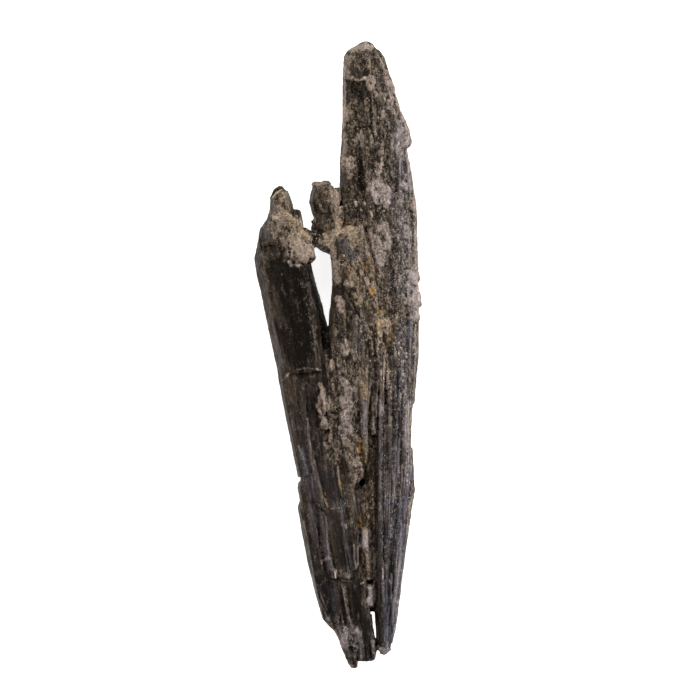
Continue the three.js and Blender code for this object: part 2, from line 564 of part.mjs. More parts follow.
// Everything below the cleavage plane, which is cut away.
function belowThePlane() {
  const slab = new THREE.BoxGeometry(WIDTH + 2 * MARGIN, LENGTH + 2 * MARGIN, MARGIN);
  return solidFrom(slab.translate(0, 0, -MARGIN / 2));
}

// The grown cluster: all blades and lumps joined, the pits and the flat back cut, and any sealed bubble
// filled.
function clusterSolid() {
  const grown = wasm.Manifold.union([...BLADES.map(bladeSolid), ...LUMPS.map(lumpSolid)]);
  const cut = grown.subtract(wasm.Manifold.union([...PITS.map(lumpSolid), belowThePlane()]));
  return cut.decompose().reduce((best, body) => (body.volume() > best.volume() ? body : best));
}

// The solid as a three.js geometry.
function geometryFrom(solid) {
  const mesh = solid.getMesh();
  return new THREE.BufferGeometry()
    .setAttribute("position", new THREE.BufferAttribute(mesh.vertProperties, 3))
    .setIndex(new THREE.BufferAttribute(mesh.triVerts, 1));
}

// The geometry moved so that the middle of its outline is over the origin and its flat back at z = 0.
function centred(geometry) {
  geometry.computeBoundingBox();
  const { min, max } = geometry.boundingBox;
  return geometry.translate(-(min.x + max.x) / 2, -(min.y + max.y) / 2, -min.z);
}

const kyanite = new THREE.MeshStandardMaterial({
  color: 0x37332f,
  roughness: 0.55,
  metalness: 0,
  flatShading: true,
});

const specimen = new THREE.Group();
const cluster = new THREE.Mesh(centred(geometryFrom(clusterSolid())), kyanite);
cluster.name = "kyanite_cluster";
specimen.add(cluster);

export default specimen;
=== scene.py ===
import bpy
import numpy as np
import openvdb
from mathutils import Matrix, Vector


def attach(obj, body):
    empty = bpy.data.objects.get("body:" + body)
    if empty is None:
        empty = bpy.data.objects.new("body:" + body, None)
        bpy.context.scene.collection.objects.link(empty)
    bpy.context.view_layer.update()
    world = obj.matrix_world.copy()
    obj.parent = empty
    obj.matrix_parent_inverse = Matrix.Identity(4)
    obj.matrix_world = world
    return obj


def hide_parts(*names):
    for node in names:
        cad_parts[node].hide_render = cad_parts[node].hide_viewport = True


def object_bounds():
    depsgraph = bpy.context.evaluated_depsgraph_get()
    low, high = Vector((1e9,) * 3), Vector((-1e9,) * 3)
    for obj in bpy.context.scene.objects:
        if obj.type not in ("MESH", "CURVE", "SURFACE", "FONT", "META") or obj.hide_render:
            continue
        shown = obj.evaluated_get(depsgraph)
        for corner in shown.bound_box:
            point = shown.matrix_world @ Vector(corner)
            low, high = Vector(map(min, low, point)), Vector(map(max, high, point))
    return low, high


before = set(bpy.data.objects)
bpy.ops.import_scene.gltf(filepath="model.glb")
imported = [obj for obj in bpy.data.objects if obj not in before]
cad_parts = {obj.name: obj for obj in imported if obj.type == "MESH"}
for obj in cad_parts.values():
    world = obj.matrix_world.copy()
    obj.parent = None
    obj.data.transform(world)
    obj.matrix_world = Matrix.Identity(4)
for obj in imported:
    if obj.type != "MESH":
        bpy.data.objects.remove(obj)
cad_low, cad_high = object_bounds()

# Lengths are millimetres, +X right and +Y up in the photograph, unless a comment says otherwise.
# Places read from the photograph are in its pixels, which MM_PER_PIXEL and ORIGIN_PIXEL turn into the frame.
MM = 0.001
MM_PER_PIXEL = 0.16
ORIGIN_PIXEL = (338.1, 354.9)
IMAGE_PIXELS = 700

# The grid on which the solid's edges are worn. BAND and MARGIN count its voxels.
VOXEL = 0.12
BAND = 5
MARGIN = 8

# Relief along the grain: strips of three sizes with steps between them, and striations.
LATH_WIDTH, LATH_LENGTH, LATH_STEP = 1.7, 21.0, 0.12
RIB_WIDTH, RIB_LENGTH, RIB_STEP = 0.8, 12.0, 0.10
SPLINTER_WIDTH, SPLINTER_LENGTH, SPLINTER_STEP = 0.42, 7.0, 0.08
LATH_GROOVE = 0.04
RIB_GROOVE = 0.03
# Each is (height, bumps to a millimetre across the grain, along it and in depth, seed).
STRIAE = [
    (0.06, (1.1, 0.07, 0.5), 41),
    (0.08, (2.3, 0.12, 0.9), 42),
    (0.06, (4.0, 0.22, 1.6), 43),
]

# Heights of the other relief.
SCOOP_DEPTH = 0.08
SMALL_SCOOP_DEPTH = 0.05
DUST_GRIT = 0.06
FINE_GRIT = 0.02
THIN_CRUST = 0.08
THIN_CRUST_ROUGHNESS = 0.07
THICK_CRUST = 0.1
LUMP_RISE = 0.1
LUMP_HEIGHT = 0.10
GRAIN_HEIGHT = 0.13
SMALL_GRAIN_HEIGHT = 0.08
RIDGE_HEIGHT = 0.06
GROOVE_DEPTH = 0.15
DARK_DEPTH = 0.05

# A stroke is full up to the inner share of its half width and gone at the outer, moved by its wobble.
EDGE_INNER = 0.45
EDGE_OUTER = 1.45
EDGE_WANDER = 0.55

# How far a point stands out of its surroundings to count in full, and how many averagings make those.
STANDING_FULL = 0.12
STANDING_REACH = 6

# Each layer of noise is this much finer than the one before, and moved this far from it.
OCTAVE_RATIO = 2.03
OCTAVE_SHIFT = 17.3


def from_pixels(points):
    """Pixels of the photograph as x, y in millimetres."""
    points = np.asarray(points, float)
    x = (points[..., 0] - ORIGIN_PIXEL[0]) * MM_PER_PIXEL
    y = (ORIGIN_PIXEL[1] - points[..., 1]) * MM_PER_PIXEL
    return np.stack([x, y], -1)


# Repeatable noise for arrays of points.
def cell_value(cell, seed):
    """A number from 0 to 1 for each whole-numbered cell."""
    h = cell[..., 0] * 374761393 + cell[..., 1] * 668265263 + cell[..., 2] * 1440662683 + seed * 974634777
    h &= 0xFFFFFFFF
    h = ((h ^ (h >> 13)) * 1274126177) & 0xFFFFFFFF
    h = ((h ^ (h >> 15)) * 2246822519) & 0xFFFFFFFF
    return (h ^ (h >> 16)) / 4294967296.0


def noise(p, seed=0):
    """Smooth noise from -1 to 1 at points p, one bump to a unit."""
    cell = np.floor(p).astype(np.int64)
    f = p - cell
    f = f * f * (3 - 2 * f)
    total = np.zeros(len(p))
    for corner in range(8):
        offset = np.array([corner & 1, (corner >> 1) & 1, (corner >> 2) & 1])
        weight = np.prod(np.where(offset, f, 1 - f), axis=1)
        total += weight * cell_value(cell + offset, seed)
    return 2 * total - 1


def layered(p, octaves, seed=0):
    """Noise from -2 to 2, in layers that are each finer and half as strong as the one before."""
    total = np.zeros(len(p))
    for k in range(octaves):
        total += 0.5**k * noise(p * OCTAVE_RATIO**k + OCTAVE_SHIFT * k, seed + k)
    return total / (1 - 0.5**octaves)


def grains(p, seed=0):
    """Distance to the nearest of one random point in each unit cell, for granular crust."""
    cell = np.floor(p).astype(np.int64)
    best = np.full(len(p), 9.0)
    for dx in (-1, 0, 1):
        for dy in (-1, 0, 1):
            for dz in (-1, 0, 1):
                near = cell + np.array([dx, dy, dz])
                spot = np.stack([cell_value(near, seed + k) for k in (1, 2, 3)], 1)
                best = np.minimum(best, np.sum((near + spot - p) ** 2, axis=1))
    return np.sqrt(best)


def step(low, high, value):
    """0 at low and 1 at high, smooth between and level beyond. It falls where low is the larger."""
    t = np.clip((value - low) / (high - low), 0, 1)
    return t * t * (3 - 2 * t)


# The grain of the crystals: lines that the striations run along, as (pixel x, pixel y) from top to bottom.
GRAIN_LINES = [
    [(270, 180), (254, 260), (276, 352), (300, 480), (326, 622), (348, 668)],
    [(288, 180), (290, 260), (305, 352), (324, 480), (343, 622), (352, 668)],
    [(306, 180), (316, 270), (328, 352), (342, 480), (357, 622), (364, 668)],
    [(338, 180), (340, 270), (342, 352), (354, 480), (369, 622), (372, 668)],
    [(356, 40), (358, 180), (360, 270), (364, 352), (370, 480), (375, 622), (376, 668)],
    [(376, 40), (378, 180), (381, 270), (383, 352), (381, 480), (382, 622), (382, 668)],
    [(398, 40), (399, 180), (401, 270), (401, 352), (396, 480), (388, 622), (387, 668)],
    [(416, 40), (417, 180), (419, 270), (419, 352), (412, 480), (396, 622), (392, 668)],
]
GRAIN_STEP = 0.5
GRAIN_MARGIN = 3


def grain_map():
    """The distance across the grain on a grid over the outline, and the x, y where the grid starts."""
    low, high = np.array(cad_low) / MM - GRAIN_MARGIN, np.array(cad_high) / MM + GRAIN_MARGIN
    xs = np.arange(low[0], high[0], GRAIN_STEP)
    ys = np.arange(low[1], high[1], GRAIN_STEP)
    lines = [from_pixels(line) for line in GRAIN_LINES]
    places = [float(np.median(line[:, 0])) for line in lines]
    table = np.empty((len(ys), len(xs)))
    for row, y in enumerate(ys):
        at = np.array([np.interp(y, line[::-1, 1], line[::-1, 0]) for line in lines])
        at = np.maximum.accumulate(at + 1e-3 * np.arange(len(at)))
        table[row] = np.interp(xs, at, places)
        table[row] += np.minimum(xs - at[0], 0) + np.maximum(xs - at[-1], 0)
    return table, xs[0], ys[0]


def sample(table, x0, y0, x, y):
    """The grid's values at x, y."""
    u = np.clip((x - x0) / GRAIN_STEP, 0, table.shape[1] - 1.001)
    v = np.clip((y - y0) / GRAIN_STEP, 0, table.shape[0] - 1.001)
    i, j = u.astype(int), v.astype(int)
    a, b = u - i, v - j
    top = table[j, i] * (1 - a) + table[j, i + 1] * a
    bottom = table[j + 1, i] * (1 - a) + table[j + 1, i + 1] * a
    return top * (1 - b) + bottom * b


# What the photograph shows, as strokes: (half width, strength, x, y, x, y, ...), in its pixels.
# Thin pale crust.
CRUST = [
    # Tip of the tall blade, its spall ledge and its flank.
    (4, 0.9, 352, 50, 360, 47, 370, 47), (2, 0.6, 345, 56, 344, 90, 344, 128), (3, 0.5, 348, 58, 349, 76),
    (1.1, 0.9, 348, 78, 352, 79, 356, 82, 360, 83, 363, 81, 365, 79), (3.6, 1.0, 366, 82, 374, 82),
    (3.2, 0.95, 367, 83, 370, 91), (2.0, 0.9, 372, 82, 373, 90), (2.2, 0.6, 374, 93, 377, 98),
    (1.8, 0.8, 345, 78, 351, 81), (3.6, 0.8, 391, 83, 396, 95, 400, 110),
    (3.2, 0.75, 400, 130, 403, 146, 408, 144), (2, 0.7, 409, 170, 410, 188),
    (2.4, 0.8, 344, 166, 347, 174), (2.2, 0.7, 342, 157, 344, 173), (2.2, 0.6, 412, 165, 415, 215),
    (2, 0.6, 415, 225, 416, 262), (4, 0.6, 411, 304, 412, 322), (1.6, 0.6, 387, 355, 387, 388),
    (1.6, 0.6, 327, 356, 328, 376), (2, 0.6, 380, 372, 380, 388), (1.2, 0.5, 391, 572, 391, 600),
    (1.6, 0.55, 397, 600, 394, 632), (1.6, 0.5, 362, 547, 363, 562), (2.6, 0.8, 346, 109, 347, 121),
    (2, 0.9, 384, 96, 384, 101), (2.2, 0.8, 388, 103, 388, 109), (2, 0.7, 391, 90, 391, 99),
    (1.6, 0.8, 383, 114, 383, 118), (1.0, 0.35, 371, 120, 380, 120),
    (3, 0.4, 392, 84, 397, 104, 403, 122), (2, 0.7, 397, 121, 399, 127), (2.5, 0.6, 404, 119, 408, 131),
    (3, 0.6, 357, 141, 360, 138, 363, 141, 362, 147), (1.5, 0.9, 371, 138, 372, 144),
    (1.4, 0.8, 367, 143), (1.1, 0.6, 375, 134, 378, 140), (1.6, 0.6, 361, 132, 361, 136),
    (4, 0.65, 395, 136, 398, 141, 396, 148, 399, 154), (2.5, 0.6, 406, 133, 409, 140, 406, 145),
    (3.4, 0.8, 345, 160, 349, 165), (2.4, 0.8, 351, 159, 352, 166), (2, 0.8, 344, 169, 351, 168),
    (1.6, 0.8, 381, 160, 382, 166), (3, 0.6, 377, 166, 378, 175), (1, 0.6, 399, 158, 400, 176),
    (1.3, 0.6, 407, 150, 408, 176), (2.5, 0.5, 345, 134, 345, 152), (3, 0.5, 346, 172, 350, 178),
    (1.4, 0.5, 392, 110, 393, 116), (1.2, 0.6, 388, 124, 389, 130), (1.6, 0.5, 381, 147, 382, 154),
    # The large patch on the tall blade, and the pale spots round it.
    (7, 1.0, 379, 193, 382, 197), (5, 1.0, 374, 186, 371, 191, 376, 197),
    (5, 1.0, 376, 187, 385, 190, 387, 197), (4.5, 1.0, 384, 199, 387, 204), (3, 0.9, 375, 199, 377, 204),
    (3, 0.7, 402, 186, 407, 188), (1.2, 1.0, 356, 203, 356, 207), (1.1, 1.0, 364, 203, 365, 206),
    (1, 1.0, 361, 211), (1.2, 1.0, 371, 213, 372, 218), (1.3, 1.0, 384, 212),
    (1.6, 0.5, 346, 207, 348, 212), (2, 0.6, 412, 203, 411, 210), (2, 0.5, 402, 212, 401, 224),
    # Crust between the left blade and the stub.
    (4, 0.6, 286, 194, 288, 204), (1.2, 0.9, 273, 198, 277, 194, 281, 191), (7, 0.65, 282, 212, 290, 222),
    (3, 0.9, 275, 215, 276, 219), (7, 0.75, 294, 222, 300, 232), (6, 0.85, 300, 232, 306, 238),
    (12, 1.0, 298, 247, 303, 254), (6, 0.5, 272, 228, 284, 238), (2, 0.7, 290, 263, 292, 267),
    (3.5, 0.6, 284, 242, 288, 248), (2, 0.5, 268, 208, 270, 216), (2.5, 0.5, 313, 185, 325, 184),
    # Right side of the stub, the bridge and the head of the centre blade.
    (3.6, 0.85, 332, 189, 336, 200, 338, 212, 337, 222), (4, 1.0, 326, 238, 334, 236, 344, 230, 353, 232),
    (3.5, 0.9, 328, 243, 333, 250), (4, 0.9, 333, 250, 336, 265, 338, 280), (4, 1.0, 344, 230, 352, 233),
    (2.6, 0.8, 350, 240, 353, 247), (1.1, 0.7, 361, 226, 365, 238, 369, 250),
    (1, 0.6, 357, 232, 358, 246), (4, 0.5, 322, 243, 330, 240), (3, 0.5, 336, 222, 342, 226),
    (2.4, 0.8, 369, 232, 373, 246, 378, 262), (3, 0.7, 408, 288, 410, 300), (5, 0.7, 381, 323, 380, 332),
    # Across the front of the tall blade.
    (5, 0.8, 384, 229, 388, 236, 388, 245), (6, 0.75, 375, 240, 378, 252, 380, 262),
    (3, 0.6, 378, 262, 379, 275), (2.4, 0.85, 405, 228, 405, 236), (3, 0.6, 404, 244, 408, 247),
    (1.5, 0.7, 412, 256), (1.8, 0.9, 359, 258, 361, 264), (1.2, 0.8, 360, 271, 361, 276),
    (2.3, 0.95, 366, 280, 368, 284), (3, 0.6, 346, 283, 351, 286), (1.6, 0.7, 397, 276, 399, 279),
    (2.4, 0.5, 363, 288, 362, 300), (1.5, 0.7, 365, 303), (3, 0.5, 403, 293, 404, 304),
    (3.6, 1.0, 338, 300, 342, 306, 341, 311), (3.6, 0.8, 386, 321, 387, 326, 385, 331),
    (1.4, 1.0, 380, 336), (3, 0.5, 362, 312, 362, 318), (1, 0.7, 415, 324, 414, 378),
    (2, 0.5, 396, 314, 398, 318), (1.4, 0.46, 284, 379, 289, 374, 297, 369.5, 307, 367.5, 322, 370),
    # Down the centre blade to its tip.
    (3.6, 0.75, 348, 343, 346, 352, 349, 350), (3, 0.9, 331, 362, 333, 367),
    (3.2, 0.9, 343, 379, 346, 386), (5.4, 0.75, 348, 389, 348, 402, 347, 412, 347, 428),
    (3, 0.7, 341, 397, 341, 404), (3.6, 0.65, 344, 436, 350, 446), (2.2, 0.75, 320, 384, 323, 391),
    (3.4, 0.75, 324, 393, 325, 401), (2.6, 0.7, 326, 402, 328, 410), (1.8, 0.6, 320, 396, 321, 404),
    (1.4, 0.7, 329, 396, 330, 402), (2.4, 0.85, 324, 417, 326, 421), (2.0, 0.8, 326, 423, 327, 427),
    (1.2, 0.7, 321, 412, 322, 417), (1.3, 0.9, 330, 427), (2, 0.7, 331, 434, 330, 440),
    (3.4, 0.4, 337, 442, 338, 456), (2, 0.45, 319, 404, 321, 416), (2.4, 0.45, 329, 413, 336, 417),
    (2.4, 0.6, 355, 388, 356, 400), (2, 0.6, 357, 444, 358, 464), (2, 0.7, 325, 444, 328, 446),
    (3, 0.5, 354, 436, 358, 438), (4, 0.5, 350, 456, 354, 470, 353, 484), (1.2, 0.9, 361, 462, 362, 475),
    (1.6, 0.9, 354, 462, 356, 465), (1.5, 0.8, 371, 421, 372, 427), (2, 0.6, 333, 386, 334, 392),
    (3, 0.45, 378, 398, 380, 412),
    # Valley, lower laths and foot.
    (5.5, 0.85, 366, 531, 366, 543), (5, 0.65, 369, 549, 371, 575),
    (3, 0.5, 367, 548, 368, 562, 370, 576), (3.8, 0.95, 370, 587, 371, 601),
    (1.2, 0.9, 361, 582, 367, 578), (1.3, 0.3, 344, 585, 346, 604, 349, 620),
    (5, 0.5, 346, 628, 344, 636, 345, 646), (5, 0.45, 350, 624, 358, 634, 355, 642),
    (2, 0.7, 378, 646, 384, 651, 389, 649), (1.8, 0.8, 345, 523, 346, 526),
    (1.4, 0.7, 335, 567, 337, 575), (1.6, 0.5, 349, 664, 356, 667), (2, 0.5, 372, 640, 374, 652),
    (1.2, 0.8, 368, 515), (2.5, 0.5, 341, 569, 347, 575), (2, 0.5, 322, 560, 328, 556),
]
# Thick crust, in lumps.
MASS = [
    (6, 0.8, 282, 214, 292, 222), (6, 0.7, 298, 228, 306, 238), (12, 1.0, 298, 247, 303, 254),
    (4, 0.5, 332, 192, 338, 218), (6, 0.8, 328, 240, 340, 232), (5, 0.7, 342, 230, 354, 233),
    (10, 0.5, 378, 191, 384, 199), (3, 0.8, 406, 130, 408, 142), (7, 0.9, 413, 276, 413, 281),
    (4, 0.8, 415, 292, 417, 316), (5, 0.3, 346, 630, 356, 638), (4, 0.25, 347, 392, 347, 424),
    (4, 0.3, 323, 390, 326, 408), (3.4, 0.35, 324, 417, 327, 427), (3, 0.7, 378, 648, 388, 650),
    (3, 0.5, 340, 302, 341, 309), (5, 0.2, 314, 232, 324, 240),
]
# The whitest, smoothest crust.
WHITE = [
    (7, 0.7, 413, 276, 413, 281), (5, 0.55, 416, 290, 417, 318), (1.6, 0.8, 364, 80, 367, 81),
    (2, 0.7, 387, 203), (4.2, 0.75, 371, 588, 371, 600), (1.2, 0.9, 336, 568, 336, 575),
    (0.7, 0.5, 382, 566, 382.5, 577), (1.2, 0.9, 356, 203), (1.2, 0.8, 371, 214, 372, 217),
    (1, 1.0, 361, 211), (1, 0.9, 384, 212), (1, 1.0, 365, 205), (4.8, 0.65, 366, 532, 366, 542),
    (1, 0.9, 380, 336), (0.9, 1.0, 344, 257), (1, 1.0, 368, 516), (3, 0.5, 345, 634, 344, 644),
    (8, 0.25, 300, 251, 303, 256),
]
# Ridge lines, standing up and pale: partly pale stone, partly painted highlight on their crests.
RIDGES = [
    (0.8, 0.85, 308, 418, 310, 440, 313, 455, 317, 470, 320, 483, 324, 497, 328, 505),
    (0.9, 0.9, 338, 466, 340, 486, 342, 495),
    (1.0, 0.6, 341, 498, 343, 522, 347, 545, 350, 560, 353, 568),
    (0.8, 0.9, 354, 543, 354, 556, 356, 566, 358, 562, 358, 545),
    (1.0, 0.45, 299, 445, 304, 458, 308, 472), (0.9, 0.5, 383, 560, 384, 600),
    (1.1, 0.6, 384, 356, 384, 378, 382, 392), (1.0, 0.6, 398, 440, 397, 470, 393, 500),
    (1.2, 0.6, 401, 520, 399, 560, 395, 600), (0.9, 0.6, 405, 470, 403, 520),
    (0.9, 0.5, 389, 400, 388, 440), (1.1, 0.6, 408, 400, 408, 470), (1, 0.5, 410, 340, 409, 390),
    (1.0, 0.6, 396, 560, 392, 620), (0.9, 0.5, 387, 470, 387, 512),
    (0.8, 0.3, 318, 583, 322, 596, 327, 608), (0.9, 0.35, 342, 583, 345, 600, 348, 612, 351, 622),
    (1.0, 0.5, 312, 575, 318, 596, 328, 618), (0.8, 0.6, 304, 520, 310, 552, 316, 585),
    (0.9, 0.45, 326, 515, 328, 545, 333, 568), (0.9, 0.5, 366, 392, 364, 420, 364, 445),
    (0.8, 0.25, 308, 283, 312, 298, 318, 312), (0.9, 0.5, 362, 226, 370, 250),
    (0.8, 0.5, 369, 232, 376, 258), (0.9, 0.5, 399, 156, 400, 200), (0.9, 0.5, 407, 148, 410, 200),
    (1.0, 0.6, 374, 612, 377, 638), (1.0, 0.5, 361, 640, 361, 658),
    (0.9, 0.5, 353, 490, 356, 508, 359, 518), (0.8, 0.5, 331, 507, 342, 506),
    (0.8, 0.2, 314, 330, 317, 362), (1.2, 0.6, 368, 584, 368, 600), (0.9, 0.5, 388, 625, 387, 645),
]
# Grooves and cracks, dark and sunk.
GROOVES = [
    (1.2, 0.8, 338, 272, 343, 280, 347, 290, 351, 302, 354, 306),
    (1.2, 0.8, 355, 308, 358, 314, 361, 320), (1.0, 0.6, 366, 444, 366, 458, 365, 472),
    (1.1, 0.3, 322, 330, 324, 350, 322, 366),
    (1.2, 0.4, 310, 422, 314, 446, 320, 472, 326, 496, 331, 512),
    (1.0, 0.6, 335, 468, 338, 490, 340, 512, 343, 540), (1.2, 0.7, 330, 540, 334, 562, 338, 576),
    (1.4, 0.9, 341, 588, 344, 606, 346, 622), (1.0, 0.6, 319, 510, 320, 545, 324, 575),
    (1.1, 0.5, 377, 440, 377, 500, 379, 540, 380, 600), (0.8, 0.4, 385, 410, 385, 470),
    (1.0, 0.4, 397, 376, 398, 440), (1.4, 0.8, 391, 538, 390, 570, 387, 610),
    (1.0, 0.6, 401, 400, 400, 470), (1.0, 0.5, 393, 400, 392, 470, 389, 520),
    (1.0, 0.6, 404, 520, 402, 560, 398, 600), (1.1, 0.8, 381, 610, 382, 640),
    (1.0, 0.6, 390, 610, 387, 640), (1.0, 0.4, 371, 372, 373, 392, 374, 420),
    (1.2, 0.5, 355, 412, 356, 430), (1.0, 0.9, 370, 580, 374, 580),
    (1.2, 0.8, 300, 372, 306, 380, 314, 386), (1.1, 0.6, 262, 250, 266, 290, 275, 340),
    (1.0, 0.6, 284, 200, 283, 208), (1.2, 0.9, 354, 577, 348, 578, 340, 577),
    (1.0, 0.6, 360, 590, 362, 620, 366, 656), (1.0, 0.6, 351, 644, 353, 662),
    (1.4, 0.8, 360, 150, 361, 170, 360, 190), (1.0, 0.5, 403, 154, 404, 196),
    (1.0, 0.5, 370, 100, 371, 130), (1.3, 0.7, 396, 180, 397, 200), (1.2, 0.6, 336, 316, 340, 345),
    (0.9, 0.6, 367, 584, 366, 604), (1, 0.7, 338, 380, 338, 396),
]
# Ochre stain.
OCHRE = [
    (2.3, 1.0, 371, 290, 373, 294), (1.8, 0.8, 378, 311, 378, 313), (1, 0.6, 384, 311),
    (3.2, 0.4, 380, 322, 378, 330), (1.3, 0.8, 391, 329, 391, 332), (1.3, 0.9, 388, 340, 389, 345),
    (1.7, 0.9, 360, 441, 359, 450), (1.2, 0.7, 361, 456), (0.9, 0.9, 339, 478, 342, 488),
    (1.1, 0.9, 360, 514, 360, 526), (1, 0.9, 367, 513), (1.3, 0.4, 348, 262, 349, 276),
    (1.1, 0.5, 362, 264, 365, 270), (1.2, 0.5, 369, 260, 373, 272), (2.5, 0.35, 364, 384, 364, 398),
    (1, 0.6, 325, 492, 327, 502), (1.4, 0.5, 291, 242), (2.4, 0.35, 304, 232, 306, 238),
    (1, 0.5, 382, 646), (2.4, 0.3, 344, 222, 346, 228), (1.1, 0.4, 352, 128, 353, 134),
    (1.5, 0.3, 366, 43),
]
# Painted blue-grey sheen on smooth faces.
BLUE_SHEEN = [
    (4, 0.2, 355, 322, 356, 346), (1.4, 0.8, 342, 500, 344, 525, 349, 550, 352, 568),
    (1.7, 0.6, 380, 404, 381, 590), (3, 0.5, 411, 325, 409, 380, 407, 400), (3, 0.8, 408, 400, 407, 500),
    (5, 1.0, 403, 500, 402, 560, 396, 610), (4, 0.6, 392, 500, 390, 560), (3, 0.7, 395, 440, 393, 500),
    (3, 0.6, 387, 480, 387, 512), (5, 0.7, 392, 600, 389, 640), (4, 0.6, 385, 580, 386, 640),
    (3, 0.6, 303, 450, 308, 480), (6, 0.35, 310, 480, 318, 540), (2, 0.6, 326, 540, 331, 566),
    (4, 0.6, 333, 585, 336, 606), (5, 0.6, 342, 244, 350, 258), (4, 0.6, 267, 230, 269, 238),
    (3, 0.9, 364, 398, 366, 438), (3, 0.5, 374, 630, 373, 654), (4, 0.5, 358, 644, 358, 658),
    (5, 0.4, 404, 365, 405, 384), (3, 0.5, 358, 230, 362, 250), (6, 0.35, 398, 210, 405, 260),
    (4, 0.4, 404, 150, 406, 190), (3, 0.5, 356, 498, 357, 508), (5, 0.15, 322, 470, 336, 500),
    (4, 0.5, 337, 435, 336, 440),
]
# Deep black: the stone's own black, and painted shade in cavities, crevices and steps and on the left blade's
# side that faces right.
DARK_AND_SHADE = [
    (6, 0.85, 354, 88, 362, 90, 362, 97), (4, 0.5, 360, 56, 364, 76),
    (3.6, 1.0, 359, 155, 361, 172, 361, 190), (4, 0.5, 373, 154, 373, 166),
    (3.2, 0.8, 394, 183, 396, 197), (8, 0.6, 350, 196, 356, 214), (6, 0.5, 366, 208, 378, 220),
    (1.4, 1.0, 272, 196, 276, 191, 281, 189), (2.4, 0.9, 297, 212, 299, 221),
    (1.4, 0.8, 261, 239, 262, 250), (5, 0.6, 273, 248, 275, 258), (9, 0.95, 276, 268, 286, 292, 290, 312),
    (11, 0.95, 292, 270, 300, 300, 304, 350),
    (5.5, 1.0, 309, 264, 312, 285, 317, 302, 323, 322, 326, 344), (10, 0.9, 288, 330, 300, 362),
    (1.2, 0.8, 366, 230, 368, 240), (7, 0.4, 323, 198, 324, 216),
    (1.3, 0.9, 338, 272, 343, 285, 348, 297, 354, 307, 360, 319), (5, 0.55, 322, 203, 330, 212),
    (4, 0.5, 317, 204, 319, 220), (7, 0.9, 314, 232, 323, 238), (2, 0.7, 334, 232),
    (7, 0.45, 338, 290, 340, 336), (2.5, 0.7, 394, 241, 395, 250), (5, 0.5, 392, 262, 388, 292),
    (4, 0.5, 396, 290, 394, 312), (3, 0.7, 347, 322, 348, 328), (3, 0.6, 387, 346, 388, 353),
    (2.6, 0.5, 395, 360, 396, 400), (4, 0.4, 372, 362, 373, 396), (4, 0.5, 347, 358, 352, 366),
    (3, 0.3, 324, 345, 322, 392), (4, 0.6, 306, 374, 316, 382), (3, 0.6, 312, 404, 314, 416),
    (3, 0.5, 356, 414, 356, 430), (1.6, 0.8, 376, 478, 376, 520),
    (3.4, 1.0, 358, 486, 362, 483, 366, 478), (1.3, 1.0, 365, 463, 365, 475),
    (1.2, 1.0, 368, 580, 373, 580), (2, 0.5, 375, 530, 377, 600), (3, 0.7, 391, 538, 390, 592),
    (4, 0.5, 354, 526, 356, 536), (5, 0.5, 336, 515, 342, 560), (8, 0.75, 326, 580, 333, 606),
    (7, 0.9, 356, 586, 358, 616), (4, 0.8, 366, 620, 367, 658), (3, 0.6, 381, 600, 381, 640),
    (3, 0.5, 350, 644, 352, 658), (2.4, 0.4, 381, 410, 381, 500), (2, 0.6, 391, 185, 392, 197),
    (3, 0.4, 383, 219, 386, 226), (3, 0.4, 401, 388, 403, 398), (1.6, 0.4, 390, 366, 391, 388),
    (4, 0.3, 302, 415, 304, 436), (2.8, 0.6, 382, 520, 382, 600), (1.6, 0.5, 394, 430, 394, 472),
    (1.6, 0.5, 399, 508, 398, 546), (5, 0.4, 390, 405, 390, 470), (1.6, 1.0, 376, 612, 376, 620),
    (1.2, 0.9, 360, 144), (4, 0.4, 330, 474, 334, 498), (3, 0.5, 344, 495, 350, 515),
    (4, 0.5, 310, 540, 316, 566), (1.2, 0.8, 357, 636), (1.1, 0.7, 354, 630),
]
# Smooth, plain faces.
SMOOTH = [
    (5, 0.9, 342, 243, 350, 258), (4, 0.6, 355, 322, 356, 346), (6, 0.9, 326, 468, 334, 500),
    (5, 0.9, 335, 515, 342, 562), (6, 0.9, 356, 588, 358, 618), (5, 0.8, 332, 586, 335, 604),
    (4, 0.8, 366, 622, 367, 656), (4, 0.7, 286, 193, 288, 204), (4, 0.8, 267, 228, 269, 238),
    (5, 0.7, 404, 530, 402, 560), (7, 0.9, 413, 276, 413, 281), (5, 0.7, 410, 325, 409, 345),
    (3.6, 0.8, 365, 530, 365, 545), (10, 0.8, 278, 270, 292, 345), (6, 0.6, 297, 275, 303, 340),
    (4, 0.6, 395, 360, 396, 400), (4, 0.6, 350, 460, 353, 484), (5, 0.5, 358, 88, 360, 100),
    (5, 0.5, 362, 56, 364, 76), (6, 0.6, 390, 600, 388, 640),
]
